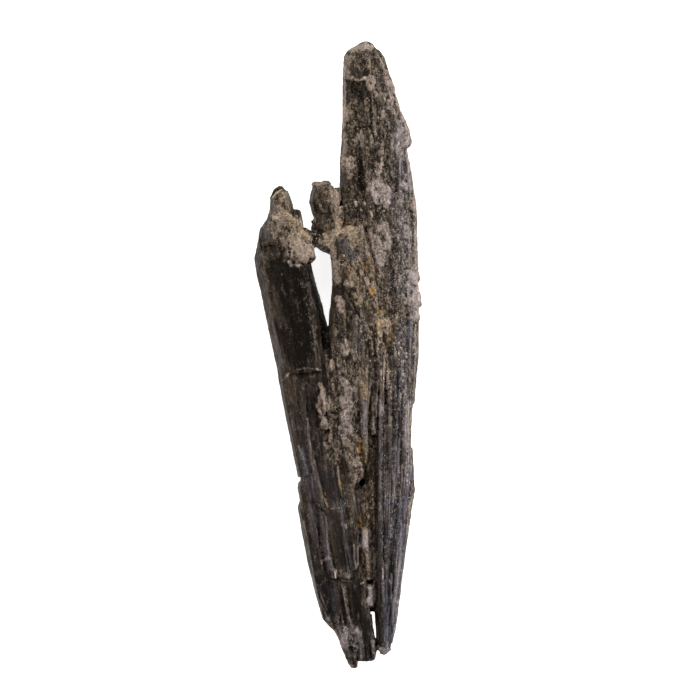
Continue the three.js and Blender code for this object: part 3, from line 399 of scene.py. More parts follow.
# Black mottled with pale dust and small crystals.
DUSTY = [
    (16, 0.6, 366, 56, 380, 90), (4, 1.4, 408, 305, 412, 345), (3, 0.7, 400, 448, 400, 490),
    (2.4, 1.0, 410, 492, 408, 532), (3, 1.1, 375, 428, 376, 444), (3, 1.1, 403, 590, 399, 635),
    (26, 0.8, 372, 106, 380, 200), (24, 0.9, 390, 200, 395, 340), (22, 1.0, 360, 206, 372, 330),
    (12, 0.9, 350, 110, 362, 160), (16, 0.8, 345, 335, 350, 440), (20, 0.7, 380, 340, 384, 420),
    (9, 0.5, 404, 340, 406, 480), (16, 0.8, 276, 206, 316, 245), (10, 0.7, 330, 184, 345, 235),
    (8, 0.4, 264, 244, 270, 290), (5, 0.2, 267, 290, 276, 345, 286, 400),
    (4, 0.45, 304, 272, 310, 310, 316, 350), (10, 0.15, 290, 385, 318, 470), (9, 0.9, 328, 408, 336, 456),
    (10, 0.7, 350, 440, 360, 480), (7, 0.6, 366, 500, 370, 605), (12, 0.6, 330, 624, 358, 650),
    (12, 1.5, 402, 196, 406, 268), (6, 1.15, 371, 430, 371, 520), (6, 0.7, 372, 400, 371, 450),
    (9, 1.2, 376, 232, 382, 256), (8, 1.35, 388, 64, 398, 118), (10, 1.2, 398, 345, 400, 395),
    (12, 1.25, 352, 264, 366, 300), (12, 1.2, 374, 268, 384, 330), (9, 1.15, 368, 236, 374, 262),
    (4, 0.9, 318, 189, 320, 206), (5, 0.9, 274, 236, 282, 246), (3, 0.9, 356, 217, 357, 226),
    (10, 0.35, 320, 190, 322, 228), (12, 1.1, 354, 356, 362, 396), (9, 1.25, 356, 56, 372, 72),
    (14, 0.45, 384, 440, 396, 550), (4, 0.6, 381, 404, 382, 590), (8, 0.5, 380, 640, 392, 652),
    (8, 0.6, 335, 300, 345, 345), (6, 0.5, 348, 495, 350, 520),
]
# Places with a warm olive tint.
OLIVE = [
    (14, 1.0, 284, 200, 300, 230), (7, 0.8, 300, 236, 308, 240), (10, 0.3, 300, 252, 302, 256),
    (10, 0.9, 316, 235, 330, 240), (12, 0.9, 340, 232, 356, 236), (14, 0.5, 352, 265, 364, 300),
    (10, 0.6, 380, 318, 380, 340), (12, 0.4, 322, 190, 324, 220), (12, 0.5, 336, 195, 340, 225),
    (16, 0.4, 270, 240, 275, 260), (14, 0.3, 350, 110, 355, 190), (6, 0.5, 346, 270, 350, 330),
    (8, 0.4, 358, 440, 360, 456), (7, 0.9, 369, 440, 369, 530), (5, 0.6, 367, 550, 369, 578),
    (8, 0.4, 330, 250, 336, 280), (8, 0.3, 364, 390, 364, 410),
]
# Places with a cool blue tint.
COOL = [
    (12, 1.0, 394, 560, 388, 645), (14, 0.9, 400, 500, 396, 570), (14, 0.85, 404, 390, 402, 500),
    (8, 0.8, 381, 400, 381, 600), (12, 0.9, 404, 330, 404, 400), (8, 0.6, 412, 290, 417, 320),
    (14, 0.7, 400, 200, 406, 290), (10, 0.8, 400, 130, 405, 190), (12, 0.5, 304, 420, 320, 560),
    (10, 0.7, 314, 560, 334, 620), (14, 0.9, 346, 628, 356, 650), (6, 0.5, 356, 322, 356, 346),
    (5, 0.8, 365, 531, 365, 543), (5, 0.8, 371, 586, 371, 602), (12, 0.5, 378, 190, 384, 200),
    (5, 0.7, 364, 398, 367, 440), (6, 0.6, 342, 244, 350, 258), (8, 0.5, 330, 480, 345, 570),
    (3, 0.8, 342, 500, 352, 566), (10, 0.4, 368, 625, 370, 655), (4, 0.6, 327, 545, 331, 566),
    (6, 0.4, 355, 590, 358, 620), (8, 0.3, 348, 385, 347, 425), (10, 0.3, 380, 230, 384, 262),
    (10, 0.3, 385, 80, 392, 125),
]


# Small corrections of the outline, as lines: (half width, shift, x, y, x, y, ...), in pixels.
# The line is filled with the solid beside it, moved right by the shift (left where that is below 0).
# A shift of 0 cuts the line away.
OUTLINE_FIXES = [
    (3.0, 0, 397.7, 91.5, 403.2, 110.5), (2.3, 0, 316.6, 250.3, 320, 252.3, 327, 255),
    (2.4, 0, 309.6, 212, 311.8, 219), (1.9, 0, 422.2, 292, 422.2, 302),
    (1.6, 2, 298.5, 209, 300.5, 218, 303, 227), (2.0, 1.5, 371.5, 617, 375, 641),
    (2.0, -1.5, 341.5, 643, 345.5, 658),
]


def far_from(line, x, y):
    """Distance from each point to a line of places."""
    far = np.full(x.shape, np.inf)
    for (ax, ay), (bx, by) in zip(line[:-1], line[1:]):
        dx, dy = bx - ax, by - ay
        t = np.clip(((x - ax) * dx + (y - ay) * dy) / (dx * dx + dy * dy + 1e-9), 0, 1)
        far = np.minimum(far, np.hypot(x - ax - t * dx, y - ay - t * dy))
    return far


def strokes(table, x, y, wobble):
    """How strongly the strokes cover each point, with an edge that follows the wobble."""
    cover = np.zeros(len(x))
    for half, strength, *places in table:
        line = from_pixels(np.reshape(places, (-1, 2)))
        line = np.vstack([line, line[-1]])
        half = half * MM_PER_PIXEL
        low, high = line.min(0) - 2 * half - 0.5, line.max(0) + 2 * half + 0.5
        near = np.flatnonzero((x > low[0]) & (x < high[0]) & (y > low[1]) & (y < high[1]))
        far = far_from(line, x[near], y[near])
        amount = strength * step(EDGE_OUTER, EDGE_INNER, far / half + EDGE_WANDER * wobble[near])
        cover[near] = np.maximum(cover[near], amount)
    return cover


# The solid of the CAD cluster, worn at its edges.
def distance_field():
    """Distances from the CAD solid's surface on a grid, below 0 inside, and the grid's lowest voxel."""
    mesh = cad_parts["kyanite_cluster"].data
    mesh.calc_loop_triangles()
    points = np.empty(len(mesh.vertices) * 3, np.float32)
    mesh.vertices.foreach_get("co", points)
    corners = np.empty(len(mesh.loop_triangles) * 3, np.int32)
    mesh.loop_triangles.foreach_get("vertices", corners)
    points = points.reshape(-1, 3) / np.float32(MM)
    grid = openvdb.FloatGrid.createLevelSetFromPolygons(
        points,
        triangles=corners.reshape(-1, 3).astype(np.uint32),
        transform=openvdb.createLinearTransform(voxelSize=VOXEL),
        halfWidth=BAND,
    )
    low = np.floor(points.min(0) / VOXEL).astype(int) - MARGIN
    high = np.ceil(points.max(0) / VOXEL).astype(int) + MARGIN
    field = np.empty(tuple(high - low), np.float32)
    grid.copyToArray(field, ijk=tuple(int(v) for v in low))
    return field, low


def corrected(field, low):
    """The field with OUTLINE_FIXES made, right through its depth."""
    spots = [(low[axis] + np.arange(field.shape[axis])) * VOXEL for axis in (0, 1)]
    grid_x, grid_y = np.meshgrid(*spots, indexing="ij")
    for half, shift, *places in OUTLINE_FIXES:
        line = from_pixels(np.reshape(places, (-1, 2)))
        inside = (half * MM_PER_PIXEL - far_from(line, grid_x, grid_y)).astype(np.float32)[:, :, None]
        if shift:
            beside = np.roll(field, round(shift * MM_PER_PIXEL / VOXEL), 0)
            field = np.minimum(field, np.maximum(beside, -inside))
        else:
            field = np.maximum(field, inside)
    return field


def worn(field):
    """The field smoothed by about a voxel, which rounds the edges."""
    for axis in (0, 1, 2):
        field = (np.roll(field, 1, axis) + 2 * field + np.roll(field, -1, axis)) / 4
    return field


def surface_of(field, low):
    """The surface where the field is zero: (points, quads)."""
    grid = openvdb.FloatGrid(BAND * VOXEL)
    grid.copyFromArray(field, ijk=tuple(int(v) for v in low))
    grid.transform = openvdb.createLinearTransform(voxelSize=VOXEL)
    points, quads = grid.convertToQuads(0.0)
    return points.astype(float), quads.astype(np.int64)


def vertex_normals(points, quads):
    """Area-weighted normals of the vertices."""
    diagonals = np.cross(points[quads[:, 2]] - points[quads[:, 0]], points[quads[:, 3]] - points[quads[:, 1]])
    normals = np.zeros_like(points)
    for corner in range(4):
        for axis in range(3):
            normals[:, axis] += np.bincount(quads[:, corner], diagonals[:, axis], len(points))
    return normals / np.maximum(np.linalg.norm(normals, axis=1, keepdims=True), 1e-12)


def neighbour_mean(values, quads):
    """The mean over each point's neighbours along the quads' edges."""
    total = np.zeros_like(values)
    count = np.zeros(len(values))
    for a, b in ((0, 1), (1, 2), (2, 3), (3, 0)):
        for p, q in ((quads[:, a], quads[:, b]), (quads[:, b], quads[:, a])):
            count += np.bincount(p, minlength=len(values))
            for axis in range(values.shape[1]):
                total[:, axis] += np.bincount(p, values[q, axis], len(values))
    return total / np.maximum(count, 1)[:, None]


solid_field, lowest_voxel = distance_field()
points, quads = surface_of(worn(corrected(solid_field, lowest_voxel)), lowest_voxel)
normals = vertex_normals(points, quads)

# Each point's place, before the relief moves it, and the same place counted across and along the grain.
x, y, z = points.T
across = sample(*grain_map(), x, y)
grain = np.stack([across, y, z], 1)

# Where the strokes count: what faces up, and the sides of what stands high.
rough = noise(points * 0.8, 5)
front = step(0.05, 0.35, normals[:, 2] + 0.15 * rough)
front = np.maximum(front, step(3.6, 6.0, z + rough) * step(-0.5, -0.1, normals[:, 2]))
# Where the painted sheen and the cool tint show: what faces up, without the steep sides.
upward = step(0.15, 0.75, normals[:, 2])
# Painted light from the right: above 0 on the sides that face right, painted paler with more dust, and below
# 0 on those that face left, painted darker.
side_light = step(0.3, 0.8, normals[:, 0]) - 0.7 * step(0.3, 0.8, -normals[:, 0])
# The upper half, where the surface is pitted more than it is striated.
pitted = step(-3, 10, y)
# The plainer parts: the lower laths left of the valley, and the left blade.
lower_left = step(-1, -4, y) * step(6.5, 5.0, x)
left_blade = step(-1.5, -3.5, x) * step(-4, 0, y)

# How the strokes' edges wander, all ways and along the grain, and how ragged the crust is.
wobble = 0.7 * layered(points * 0.9, 4, 11) + 0.6 * layered(points * 2.6, 2, 14)
wobble_long = layered(grain * [1.6, 0.25, 1.0], 3, 21)
ragged = 0.6 * layered(points * [1.1, 0.8, 1.1], 4, 12) + 0.4 * layered(points * 3.5, 2, 16)

# What covers each point: pale crust, ochre stain, painted blue sheen, black with painted shade, and dust with
# painted side light. The back has crust in patches.
covering = strokes(CRUST, x, y, 0.8 * wobble) * front
covering += 0.6 * step(0.1, 0.5, layered(points * [0.3, 0.14, 0.3], 4, 32)) * (1 - front)
mass = strokes(MASS, x, y, wobble) * front
crust = np.clip(np.maximum(covering * (0.92 + 0.35 * ragged), mass * (0.9 + 0.25 * ragged)), 0, 1)
white = strokes(WHITE, x, y, 0.5 * wobble) * front
crust = np.maximum(crust, white)
ochre = strokes(OCHRE, x, y, wobble) * front
blue_sheen = strokes(BLUE_SHEEN, x, y, wobble_long) * upward + 0.2 * (1 - front) * step(-0.2, 0.5, wobble_long)
ridges = strokes(RIDGES, x, y, 0.25 * wobble) * front
grooves = strokes(GROOVES, x, y, 0.4 * wobble_long) * front
dark_and_shade = strokes(DARK_AND_SHADE, x, y, 0.7 * wobble_long) * front
smooth = strokes(SMOOTH, x, y, 0.5 * wobble_long) * front
# The dust share: real dust, and painted light that raises it on sides facing right and lowers it on those
# facing left.
dust_and_side_light = strokes(DUSTY, x, y, wobble) * front + (0.35 + 0.5 * rough) * (1 - front) + 0.45 * side_light
dust_and_side_light = np.clip(dust_and_side_light, 0.08, 1.5) * (1 - 0.7 * smooth)
warm = 0.5 + 0.5 * (strokes(OLIVE, x, y, wobble) * front - strokes(COOL, x, y, wobble_long) * upward)


def strips(width, length, seed):
    """A random value for each strip along the grain, and how far each point is from its strip's edge."""
    # The back is moved by 100 strips, which gives it strips of its own.
    u = across / width + 0.2 * noise(grain * [0.1, 0.05, 0.1], seed) + 100 * (normals[:, 2] < -0.3)
    column = np.floor(u).astype(np.int64)
    zero = np.zeros_like(column)
    v = y / length + 9 * cell_value(np.stack([column, zero, zero], 1), seed) + 0.06 * (u - column)
    row = np.floor(v).astype(np.int64)
    return cell_value(np.stack([column, row, zero], 1), seed + 1), np.minimum(u - column, 1 - u + column)


# Relief along the grain: laths, ribs and splinters at their own heights, and striations.
lath, lath_edge = strips(LATH_WIDTH, LATH_LENGTH, 101)
rib, rib_edge = strips(RIB_WIDTH, RIB_LENGTH, 111)
splinter = strips(SPLINTER_WIDTH, SPLINTER_LENGTH, 121)[0]
laths = LATH_STEP * (lath - 0.5) + RIB_STEP * (rib - 0.5) + SPLINTER_STEP * (splinter - 0.5)
laths -= LATH_GROOVE * step(0.10, 0.0, lath_edge) + RIB_GROOVE * step(0.12, 0.0, rib_edge)
striae = sum(height * noise(grain * bumps, seed) for height, bumps, seed in STRIAE)

# The stone's relief, with scoops where it is pitted and grit where it is dusty.
scoops = SCOOP_DEPTH * layered(points * [0.9, 0.5, 0.9], 3, 61)
scoops += SMALL_SCOOP_DEPTH * layered(points * [2.4, 1.4, 2.4], 2, 65)
grit = layered(points * [3.2, 2.2, 3.2], 2, 81)
body = (laths + striae) * (1 - 0.65 * pitted) + scoops * (1 + pitted) + DUST_GRIT * grit * (0.3 + dust_and_side_light)
body *= (1 - 0.7 * smooth) * (1 - 0.3 * lower_left) * (1 - 0.4 * left_blade)

# The crust's relief: thin crust follows the stone, and thick crust lies in lumps of grains.
lumps = LUMP_RISE + LUMP_HEIGHT * layered(points * 0.7, 3, 71)
lumps -= GRAIN_HEIGHT * grains(points * 1.15, 73) + SMALL_GRAIN_HEIGHT * grains(points * 2.3, 75)
thin = THIN_CRUST + THIN_CRUST_ROUGHNESS * layered(points * 2.2, 3, 78) + 0.4 * body
thick = THICK_CRUST + lumps * (1 - 0.6 * white)
relief = body * (1 - crust) + crust * (thin * (1 - mass) + thick * mass)
relief += RIDGE_HEIGHT * ridges - GROOVE_DEPTH * grooves - DARK_DEPTH * dark_and_shade + FINE_GRIT * grit
relief *= 0.45 + 0.55 * np.abs(normals[:, 2])

# The surface with its relief, kept above the floor.
points = points + normals * relief[:, None]
points[:, 2] = np.maximum(points[:, 2], 0)
normals = vertex_normals(points, quads)

# How far each point stands out of its surroundings: edges and ridges above 0, grooves below. The material
# paints shade into the grooves and highlights onto the edges from it.
around = points
for _ in range(STANDING_REACH):
    around = neighbour_mean(around, quads)
standing = np.sum((points - around) * normals, axis=1) / STANDING_FULL
standing = np.clip(standing, -1, 1)

# How strongly the colours run in streaks along the grain, and how light each strip's stone is.
streaky = 1.1 * (1 - 0.8 * pitted) * (1 - left_blade) * (1 - 0.55 * lower_left)
streaky *= (1 - 0.8 * crust) * (1 - 0.6 * smooth)
tone = lath + 0.7 * rib + 0.5 * splinter - 1.1

# The pieces, split where one group of crystals meets the next.
PIECES = [
    "left_blade", "centre_blade", "tall_blade", "lower_left_laths", "lower_right_laths",
    "tall_blade_tip", "foot",
]
LEFT_BLADE, CENTRE_BLADE, TALL_BLADE, LOWER_LEFT, LOWER_RIGHT, TIP, FOOT = range(len(PIECES))
LEFT_SPLIT = from_pixels([(305, 150), (312, 240), (328, 326), (322, 380), (340, 470), (352, 488)])
VALLEY_SPLIT = from_pixels([
    (339, 150), (342, 232), (360, 232), (376, 300), (377, 380), (376, 480), (377, 680),
])
FRACTURE_Y = from_pixels((300, 370))[1]
CENTRE_END_Y = from_pixels((352, 488))[1]
TIP_Y = from_pixels((370, 200))[1]
FOOT_Y = from_pixels((330, 500))[1]


def piece_of(x, y):
    """Which piece each point belongs to, as its place in PIECES."""
    left = x < np.interp(y, LEFT_SPLIT[::-1, 1], LEFT_SPLIT[::-1, 0])
    right = x > np.interp(y, VALLEY_SPLIT[::-1, 1], VALLEY_SPLIT[::-1, 0])
    choice = np.full(len(x), CENTRE_BLADE)
    choice[left & (y >= FRACTURE_Y)] = LEFT_BLADE
    choice[(left & (y < FRACTURE_Y)) | (y < CENTRE_END_Y)] = LOWER_LEFT
    choice[right & (y >= FRACTURE_Y)] = TALL_BLADE
    choice[right & (y < FRACTURE_Y)] = LOWER_RIGHT
    choice[(choice == TALL_BLADE) & (y > TIP_Y)] = TIP
    choice[(choice == LOWER_LEFT) & (y < FOOT_Y)] = FOOT
    return choice


# Colours of the stone, as linear light.
BLACK = (0.0085, 0.0068, 0.0054, 1)
BROWN = (0.044, 0.034, 0.0265, 1)
# The colour of the painted blue-grey sheen.
BLUE_GREY = (0.112, 0.113, 0.132, 1)
DUST = (0.255, 0.213, 0.181, 1)
DUST_OLIVE = (0.215, 0.182, 0.125, 1)
SOIL = (0.080, 0.066, 0.050, 1)
# Pale worn colour, also used for the painted highlight on edges.
WEAR_AND_HIGHLIGHT = (0.150, 0.126, 0.110, 1)
# Pitch black, for the black strokes and the painted shade in hollows.
PITCH = (0.0035, 0.0030, 0.0022, 1)
# Painted highlights: the colours of the glints.
GLINT = (0.60, 0.57, 0.55, 1)
GLINT_WARM = (0.55, 0.49, 0.43, 1)
CRUST_SHADE = (0.095, 0.074, 0.056, 1)
CRUST_LIGHT = (0.45, 0.386, 0.338, 1)
CRUST_GREY = (0.27, 0.235, 0.212, 1)
CRUST_WHITE = (0.50, 0.44, 0.395, 1)
OCHRE_STAIN = (0.36, 0.20, 0.03, 1)
# Tints that the colours are multiplied by.
WARM_TINT = (1.08, 0.99, 0.82, 1)
PLAIN_TINT = (1.045, 0.97, 0.92, 1)
COOL_TINT = (0.98, 1.005, 1.18, 1)
# Heights of the bump, and how glossy the stone is.
STREAK_BUMP = 0.05
FLECK_BUMP = 0.035
THREAD_BUMP = 0.05
BUMP_STRENGTH = 0.8
STONE_ROUGHNESS = 0.46
CRUST_ROUGHNESS = 0.85
SPECULAR = 0.06


def kyanite_material():
    """Black striated kyanite with painted blue sheen, painted shade, highlights and glints, pale mica crust
    and ochre stains.
    """
    material = bpy.data.materials.new("kyanite")
    material.use_nodes = True
    tree = material.node_tree
    tree.nodes.clear()

    def node(kind, **settings):
        made = tree.nodes.new(kind)
        for key, value in settings.items():
            if key in made.inputs:
                made.inputs[key].default_value = value
            else:
                setattr(made, key, value)
        return made

    def connect(value, socket):
        if isinstance(value, (int, float, tuple)):
            socket.default_value = value
        else:
            tree.links.new(value, socket)

    def number(name):
        return node("ShaderNodeAttribute", attribute_name=name).outputs["Fac"]

    def scaled(vector, scale):
        made = node("ShaderNodeVectorMath", operation="MULTIPLY")
        connect(vector, made.inputs[0])
        connect(scale, made.inputs[1])
        return made.outputs[0]

    def texture(vector, scale, detail, roughness):
        made = node("ShaderNodeTexNoise", Scale=1.0, Detail=detail, Roughness=roughness)
        connect(scaled(vector, scale), made.inputs["Vector"])
        return made.outputs["Fac"]

    def ramp(value, low, high, out_low=0.0, out_high=1.0):
        made = node("ShaderNodeMapRange", clamp=True)
        connect(value, made.inputs["Value"])
        for key, end in (("From Min", low), ("From Max", high), ("To Min", out_low), ("To Max", out_high)):
            connect(end, made.inputs[key])
        return made.outputs["Result"]

    def maths(operation, a, b=0.0):
        made = node("ShaderNodeMath", operation=operation)
        connect(a, made.inputs[0])
        connect(b, made.inputs[1])
        return made.outputs[0]

    def plus(a, b):
        return maths("ADD", a, b)

    def minus(a, b):
        return maths("SUBTRACT", a, b)

    def times(a, b):
        return maths("MULTIPLY", a, b)

    def mix(share, a, b, blend="MIX"):
        made = node("ShaderNodeMix", data_type="RGBA", blend_type=blend)
        for index, value in ((0, share), (6, a), (7, b)):
            connect(value, made.inputs[index])
        return made.outputs[2]

    # What each point of the mesh says about itself.
    flow = node("ShaderNodeAttribute", attribute_name="grain").outputs["Vector"]
    place = scaled(node("ShaderNodeTexCoord").outputs["Object"], (1000, 1000, 1000))
    paint = node("ShaderNodeSeparateColor")
    connect(node("ShaderNodeAttribute", attribute_name="paint").outputs["Color"], paint.inputs[0])
    crust, stain, sheen = paint.outputs
    black_and_shade = number("dark_and_shade")
    dust_and_side_light = number("dust_and_side_light")
    stand = number("standing")
    tone = number("tone")
    white = number("white")
    ridge = number("ridges")
    warm = number("warm")
    streaky = number("streaky")

    # Patterns drawn out along the grain: bumps to a millimetre across it, along it and in depth.
    streak = texture(flow, (2.0, 0.14, 1.2), 5.0, 0.62)
    fine_streak = texture(flow, (3.2, 0.35, 2.4), 4.0, 0.65)
    thread = texture(flow, (4.4, 0.13, 3.0), 3.0, 0.6)
    grain_glints = texture(flow, (4.6, 1.5, 3.0), 1.0, 0.5)
    # Patterns in the stone: bumps to a millimetre.
    cloud = texture(place, (0.45, 0.30, 0.45), 4.0, 0.6)
    mottle = texture(place, (1.3, 0.65, 1.3), 6.0, 0.75)
    crackle = texture(place, (1.5, 1.2, 1.5), 3.0, 0.6)
    grain = texture(place, (2.4, 2.0, 2.4), 4.0, 0.7)
    fleck = texture(place, (3.6, 2.6, 3.6), 3.0, 0.7)
    speckle = texture(place, (4.6, 3.6, 4.6), 2.0, 0.6)
    glint = texture(place, (6.0, 4.8, 6.0), 1.0, 0.5)

    # Black and brown stone, in strands along the grain, or mottled where it is even.
    even = ramp(streaky, 0.02, 0.2, 1.0, 0.0)
    strand = plus(times(minus(1.0, even), streak), times(even, mottle))
    body = mix(ramp(plus(strand, times(tone, 0.2)), 0.36, 0.68), BLACK, BROWN)
    # Painted sheen: blue-grey where the smooth faces look up.
    body = mix(times(sheen, ramp(fine_streak, 0.42, 0.58, 0.05, 0.9)), body, BLUE_GREY)
    rubbed = times(ramp(fine_streak, 0.56, 0.70, 0.0, 0.3), ramp(streaky, 0.1, 0.6, 0.3, 1.0))
    body = mix(rubbed, body, WEAR_AND_HIGHLIGHT)
    # Soil and dust on it, partly painted light: the dust share is raised on the sides that face right.
    powder = mix(ramp(cloud, 0.42, 0.60), DUST, DUST_OLIVE)
    veil = times(dust_and_side_light, ramp(plus(mottle, times(stand, 0.10)), 0.46, 0.58))
    body = mix(ramp(dust_and_side_light, 0.9, 1.3, 0.0, 0.55), body, SOIL)
    body = mix(times(veil, ramp(fleck, 0.38, 0.58, 0.15, 0.95)), body, powder)
    # Edges painted paler, partly wear and partly painted highlight; black strokes and painted shade in the
    # hollows; pale ridges, partly painted highlight.
    # Painted highlight, partly wear: edges that stand out are painted paler.
    body = mix(ramp(stand, 0.15, 0.8, 0.0, 0.25), body, WEAR_AND_HIGHLIGHT)
    # The black strokes: partly the stone's black, partly painted shade.
    body = mix(times(black_and_shade, 0.85), body, PITCH)
    # Painted shade: grooves and hollows are darkened towards pitch black by how far they sink.
    body = mix(ramp(stand, -0.12, -0.8, 0.0, 0.65), body, PITCH)
    # Pale ridges: partly pale stone, partly painted highlight.
    body = mix(times(ridge, ramp(fine_streak, 0.40, 0.58, 0.25, 0.9)), body, CRUST_GREY)
    # Painted glints: small bright specks of highlight, and bright glints drawn out along the grain.
    body = mix(times(ramp(glint, 0.70, 0.76), ramp(dust_and_side_light, 0.1, 1.0, 0.1, 1.0)), body, GLINT)
    body = mix(times(ramp(grain_glints, 0.69, 0.76, 0.0, 0.7), times(streaky, dust_and_side_light)), body, GLINT)

    # Pale crust: mottled grains, with dark specks and cracks, painted shade in its hollows and painted
    # highlight on its crests.
    pale = mix(ramp(grain, 0.36, 0.62), CRUST_SHADE, CRUST_LIGHT)
    pale = mix(ramp(mottle, 0.44, 0.56, 0.0, 0.6), pale, CRUST_GREY)
    pale = mix(ramp(mottle, 0.56, 0.64, 0.0, 0.7), pale, CRUST_LIGHT)
    pale = mix(ramp(fleck, 0.44, 0.34, 0.0, 0.8), pale, BROWN)
    crack = maths("ABSOLUTE", minus(crackle, 0.5))
    pale = mix(ramp(crack, 0.0, 0.03, 0.5, 0.0), pale, CRUST_SHADE)
    # Painted shade in the crust's hollows, and painted highlight on its crests.
    pale = mix(ramp(stand, 0.0, -0.7, 0.0, 0.45), pale, BROWN)
    pale = mix(ramp(stand, 0.2, 0.9, 0.0, 0.5), pale, CRUST_LIGHT)
    pale = mix(times(white, ramp(fleck, 0.30, 0.45, 0.4, 0.95)), pale, CRUST_WHITE)

    # The crust over the stone, with a ragged edge, and the ochre stain and warm painted glints over both.
    edge = plus(crust, times(minus(mottle, 0.5), 2.0))
    colour = mix(ramp(maths("MAXIMUM", edge, white), 0.15, 0.85, 0.0, 0.95), body, pale)
    colour = mix(times(stain, ramp(fleck, 0.42, 0.60)), colour, OCHRE_STAIN)
    # Painted glints: warm bright specks of highlight where there is dust.
    colour = mix(times(ramp(glint, 0.66, 0.74, 0.0, 0.7), ramp(dust_and_side_light, 0.2, 0.9)), colour, GLINT_WARM)

    # A warm, plain or cool tint, lighter and darker in specks and in threads along the grain.
    tint = mix(ramp(warm, 0.5, 1.0), mix(ramp(warm, 0.0, 0.5), COOL_TINT, PLAIN_TINT), WARM_TINT)
    threads = times(minus(ramp(thread, 0.36, 0.64), 0.47), streaky)
    shade = node("ShaderNodeVectorMath", operation="SCALE")
    connect(tint, shade.inputs[0])
    connect(plus(ramp(speckle, 0.36, 0.64, 0.68, 1.36), threads), shade.inputs["Scale"])
    colour = mix(1.0, colour, shade.outputs[0], "MULTIPLY")

    height = plus(times(fine_streak, STREAK_BUMP), times(fleck, FLECK_BUMP))
    height = plus(height, times(thread, times(streaky, THREAD_BUMP)))
    bump = node("ShaderNodeBump", Strength=BUMP_STRENGTH, Distance=MM)
    connect(height, bump.inputs["Height"])
    shader = node("ShaderNodeBsdfPrincipled")
    shader.inputs["Specular IOR Level"].default_value = SPECULAR
    gloss = ramp(maths("MAXIMUM", crust, black_and_shade), 0.2, 0.8, STONE_ROUGHNESS, CRUST_ROUGHNESS)
    connect(gloss, shader.inputs["Roughness"])
    connect(colour, shader.inputs["Base Color"])
    connect(bump.outputs[0], shader.inputs["Normal"])
    connect(shader.outputs[0], node("ShaderNodeOutputMaterial").inputs["Surface"])
    return material


# What each point of a piece carries for the material: (name, kind, key of its values, values).
paint = np.stack([crust, ochre, blue_sheen, np.ones_like(crust)], 1)
numbers = {
    "dark_and_shade": dark_and_shade, "dust_and_side_light": dust_and_side_light, "standing": standing, "tone": tone,
    "white": white, "ridges": ridges, "warm": warm, "streaky": streaky,
}
layers = [("grain", "FLOAT_VECTOR", "vector", grain), ("paint", "FLOAT_COLOR", "color", paint)]
layers += [(name, "FLOAT", "value", values) for name, values in numbers.items()]


def add_piece(name, chosen, material):
    """One piece of the surface as an object, with the layers as its attributes."""
    faces = quads[chosen]
    used = np.unique(faces)
    renumber = np.full(len(points), -1)
    renumber[used] = np.arange(len(used))
    faces = renumber[faces]
    mesh = bpy.data.meshes.new(name)
    mesh.vertices.add(len(used))
    mesh.vertices.foreach_set("co", (points[used] * MM).astype(np.float32).ravel())
    mesh.loops.add(faces.size)
    mesh.loops.foreach_set("vertex_index", faces.astype(np.int32).ravel())
    mesh.polygons.add(len(faces))
    mesh.polygons.foreach_set("loop_start", np.arange(0, faces.size, 4, dtype=np.int32))
    mesh.update(calc_edges=True)
    mesh.polygons.foreach_set("use_smooth", np.ones(len(faces), bool))
    mesh.normals_split_custom_set_from_vertices(normals[used])
    for label, kind, key, values in layers:
        layer = mesh.attributes.new(label, kind, "POINT")
        layer.data.foreach_set(key, values[used].astype(np.float32).ravel())
    mesh.materials.append(material)
    piece = bpy.data.objects.new(name, mesh)
    bpy.context.scene.collection.objects.link(piece)
    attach(piece, "root")
    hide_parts("kyanite_cluster")
    print(name, 2 * len(faces), "triangles")


stone = kyanite_material()
centres = points[quads].mean(1)
belongs = piece_of(centres[:, 0], centres[:, 1])
for index, name in enumerate(PIECES):
    add_piece(name, belongs == index, stone)

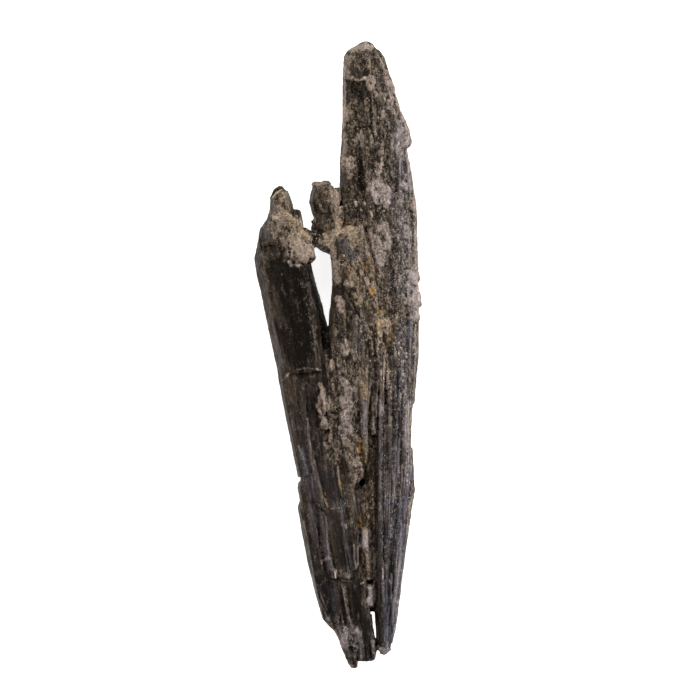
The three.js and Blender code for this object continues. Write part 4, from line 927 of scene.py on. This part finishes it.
# The floor.
FLOOR_SIZE = 3000 * MM
FLOOR_Z = -0.1 * MM
FLOOR_COLOUR = (0.9, 0.9, 0.9, 1)
FLOOR_ROUGHNESS = 0.9
FLOOR_GLOW = 0.85
bpy.ops.mesh.primitive_plane_add(size=FLOOR_SIZE, location=(0, 0, FLOOR_Z))
floor = bpy.context.object
floor.name = "floor"
paper = bpy.data.materials.new("paper")
paper.use_nodes = True
shader = paper.node_tree.nodes["Principled BSDF"]
shader.inputs["Base Color"].default_value = FLOOR_COLOUR
shader.inputs["Roughness"].default_value = FLOOR_ROUGHNESS
shader.inputs["Emission Color"].default_value = (1, 1, 1, 1)
shader.inputs["Emission Strength"].default_value = FLOOR_GLOW
floor.data.materials.append(paper)

# The lights: a large soft one from each side and a weak one from above the tip, places and sizes in metres.
LIGHTS = [
    ("left_light", (-0.45, 0.20, 0.42), 0.35, 2.5, (1, 0.955, 0.90)),
    ("right_light", (0.50, 0.05, 0.28), 0.30, 3.3, (1, 0.98, 0.98)),
    ("top_light", (0.0, 0.5, 0.45), 0.40, 1.6, (1, 1, 1)),
]
WORLD_LIGHT = 0.12
OUTLINE_Z = 4.5 * MM
middle = from_pixels((IMAGE_PIXELS / 2, IMAGE_PIXELS / 2)) * MM
target = Vector((middle[0], middle[1], OUTLINE_Z))
for name, place, size, watts, colour in LIGHTS:
    lamp = bpy.data.lights.new(name, "AREA")
    lamp.size = size
    lamp.energy = watts
    lamp.color = colour
    holder = bpy.data.objects.new(name, lamp)
    holder.location = place
    holder.rotation_euler = (target - Vector(place)).to_track_quat("-Z", "Y").to_euler()
    bpy.context.scene.collection.objects.link(holder)
world = bpy.data.worlds.new("studio")
world.use_nodes = True
world.node_tree.nodes["Background"].inputs["Color"].default_value = (1, 1, 1, 1)
world.node_tree.nodes["Background"].inputs["Strength"].default_value = WORLD_LIGHT
bpy.context.scene.world = world
bpy.context.scene.view_settings.view_transform = "Standard"

# The camera looks straight down, with the photograph's framing.
LENS = 120.0
SENSOR = 36.0
camera = bpy.data.cameras.new("camera")
camera.lens = LENS
camera.sensor_width = SENSOR
distance = IMAGE_PIXELS * MM_PER_PIXEL * MM * LENS / SENSOR
viewer = bpy.data.objects.new("camera", camera)
viewer.location = (target.x, target.y, OUTLINE_Z + distance)
viewer.rotation_euler = (0, 0, 0)
bpy.context.scene.collection.objects.link(viewer)
bpy.context.scene.camera = viewer
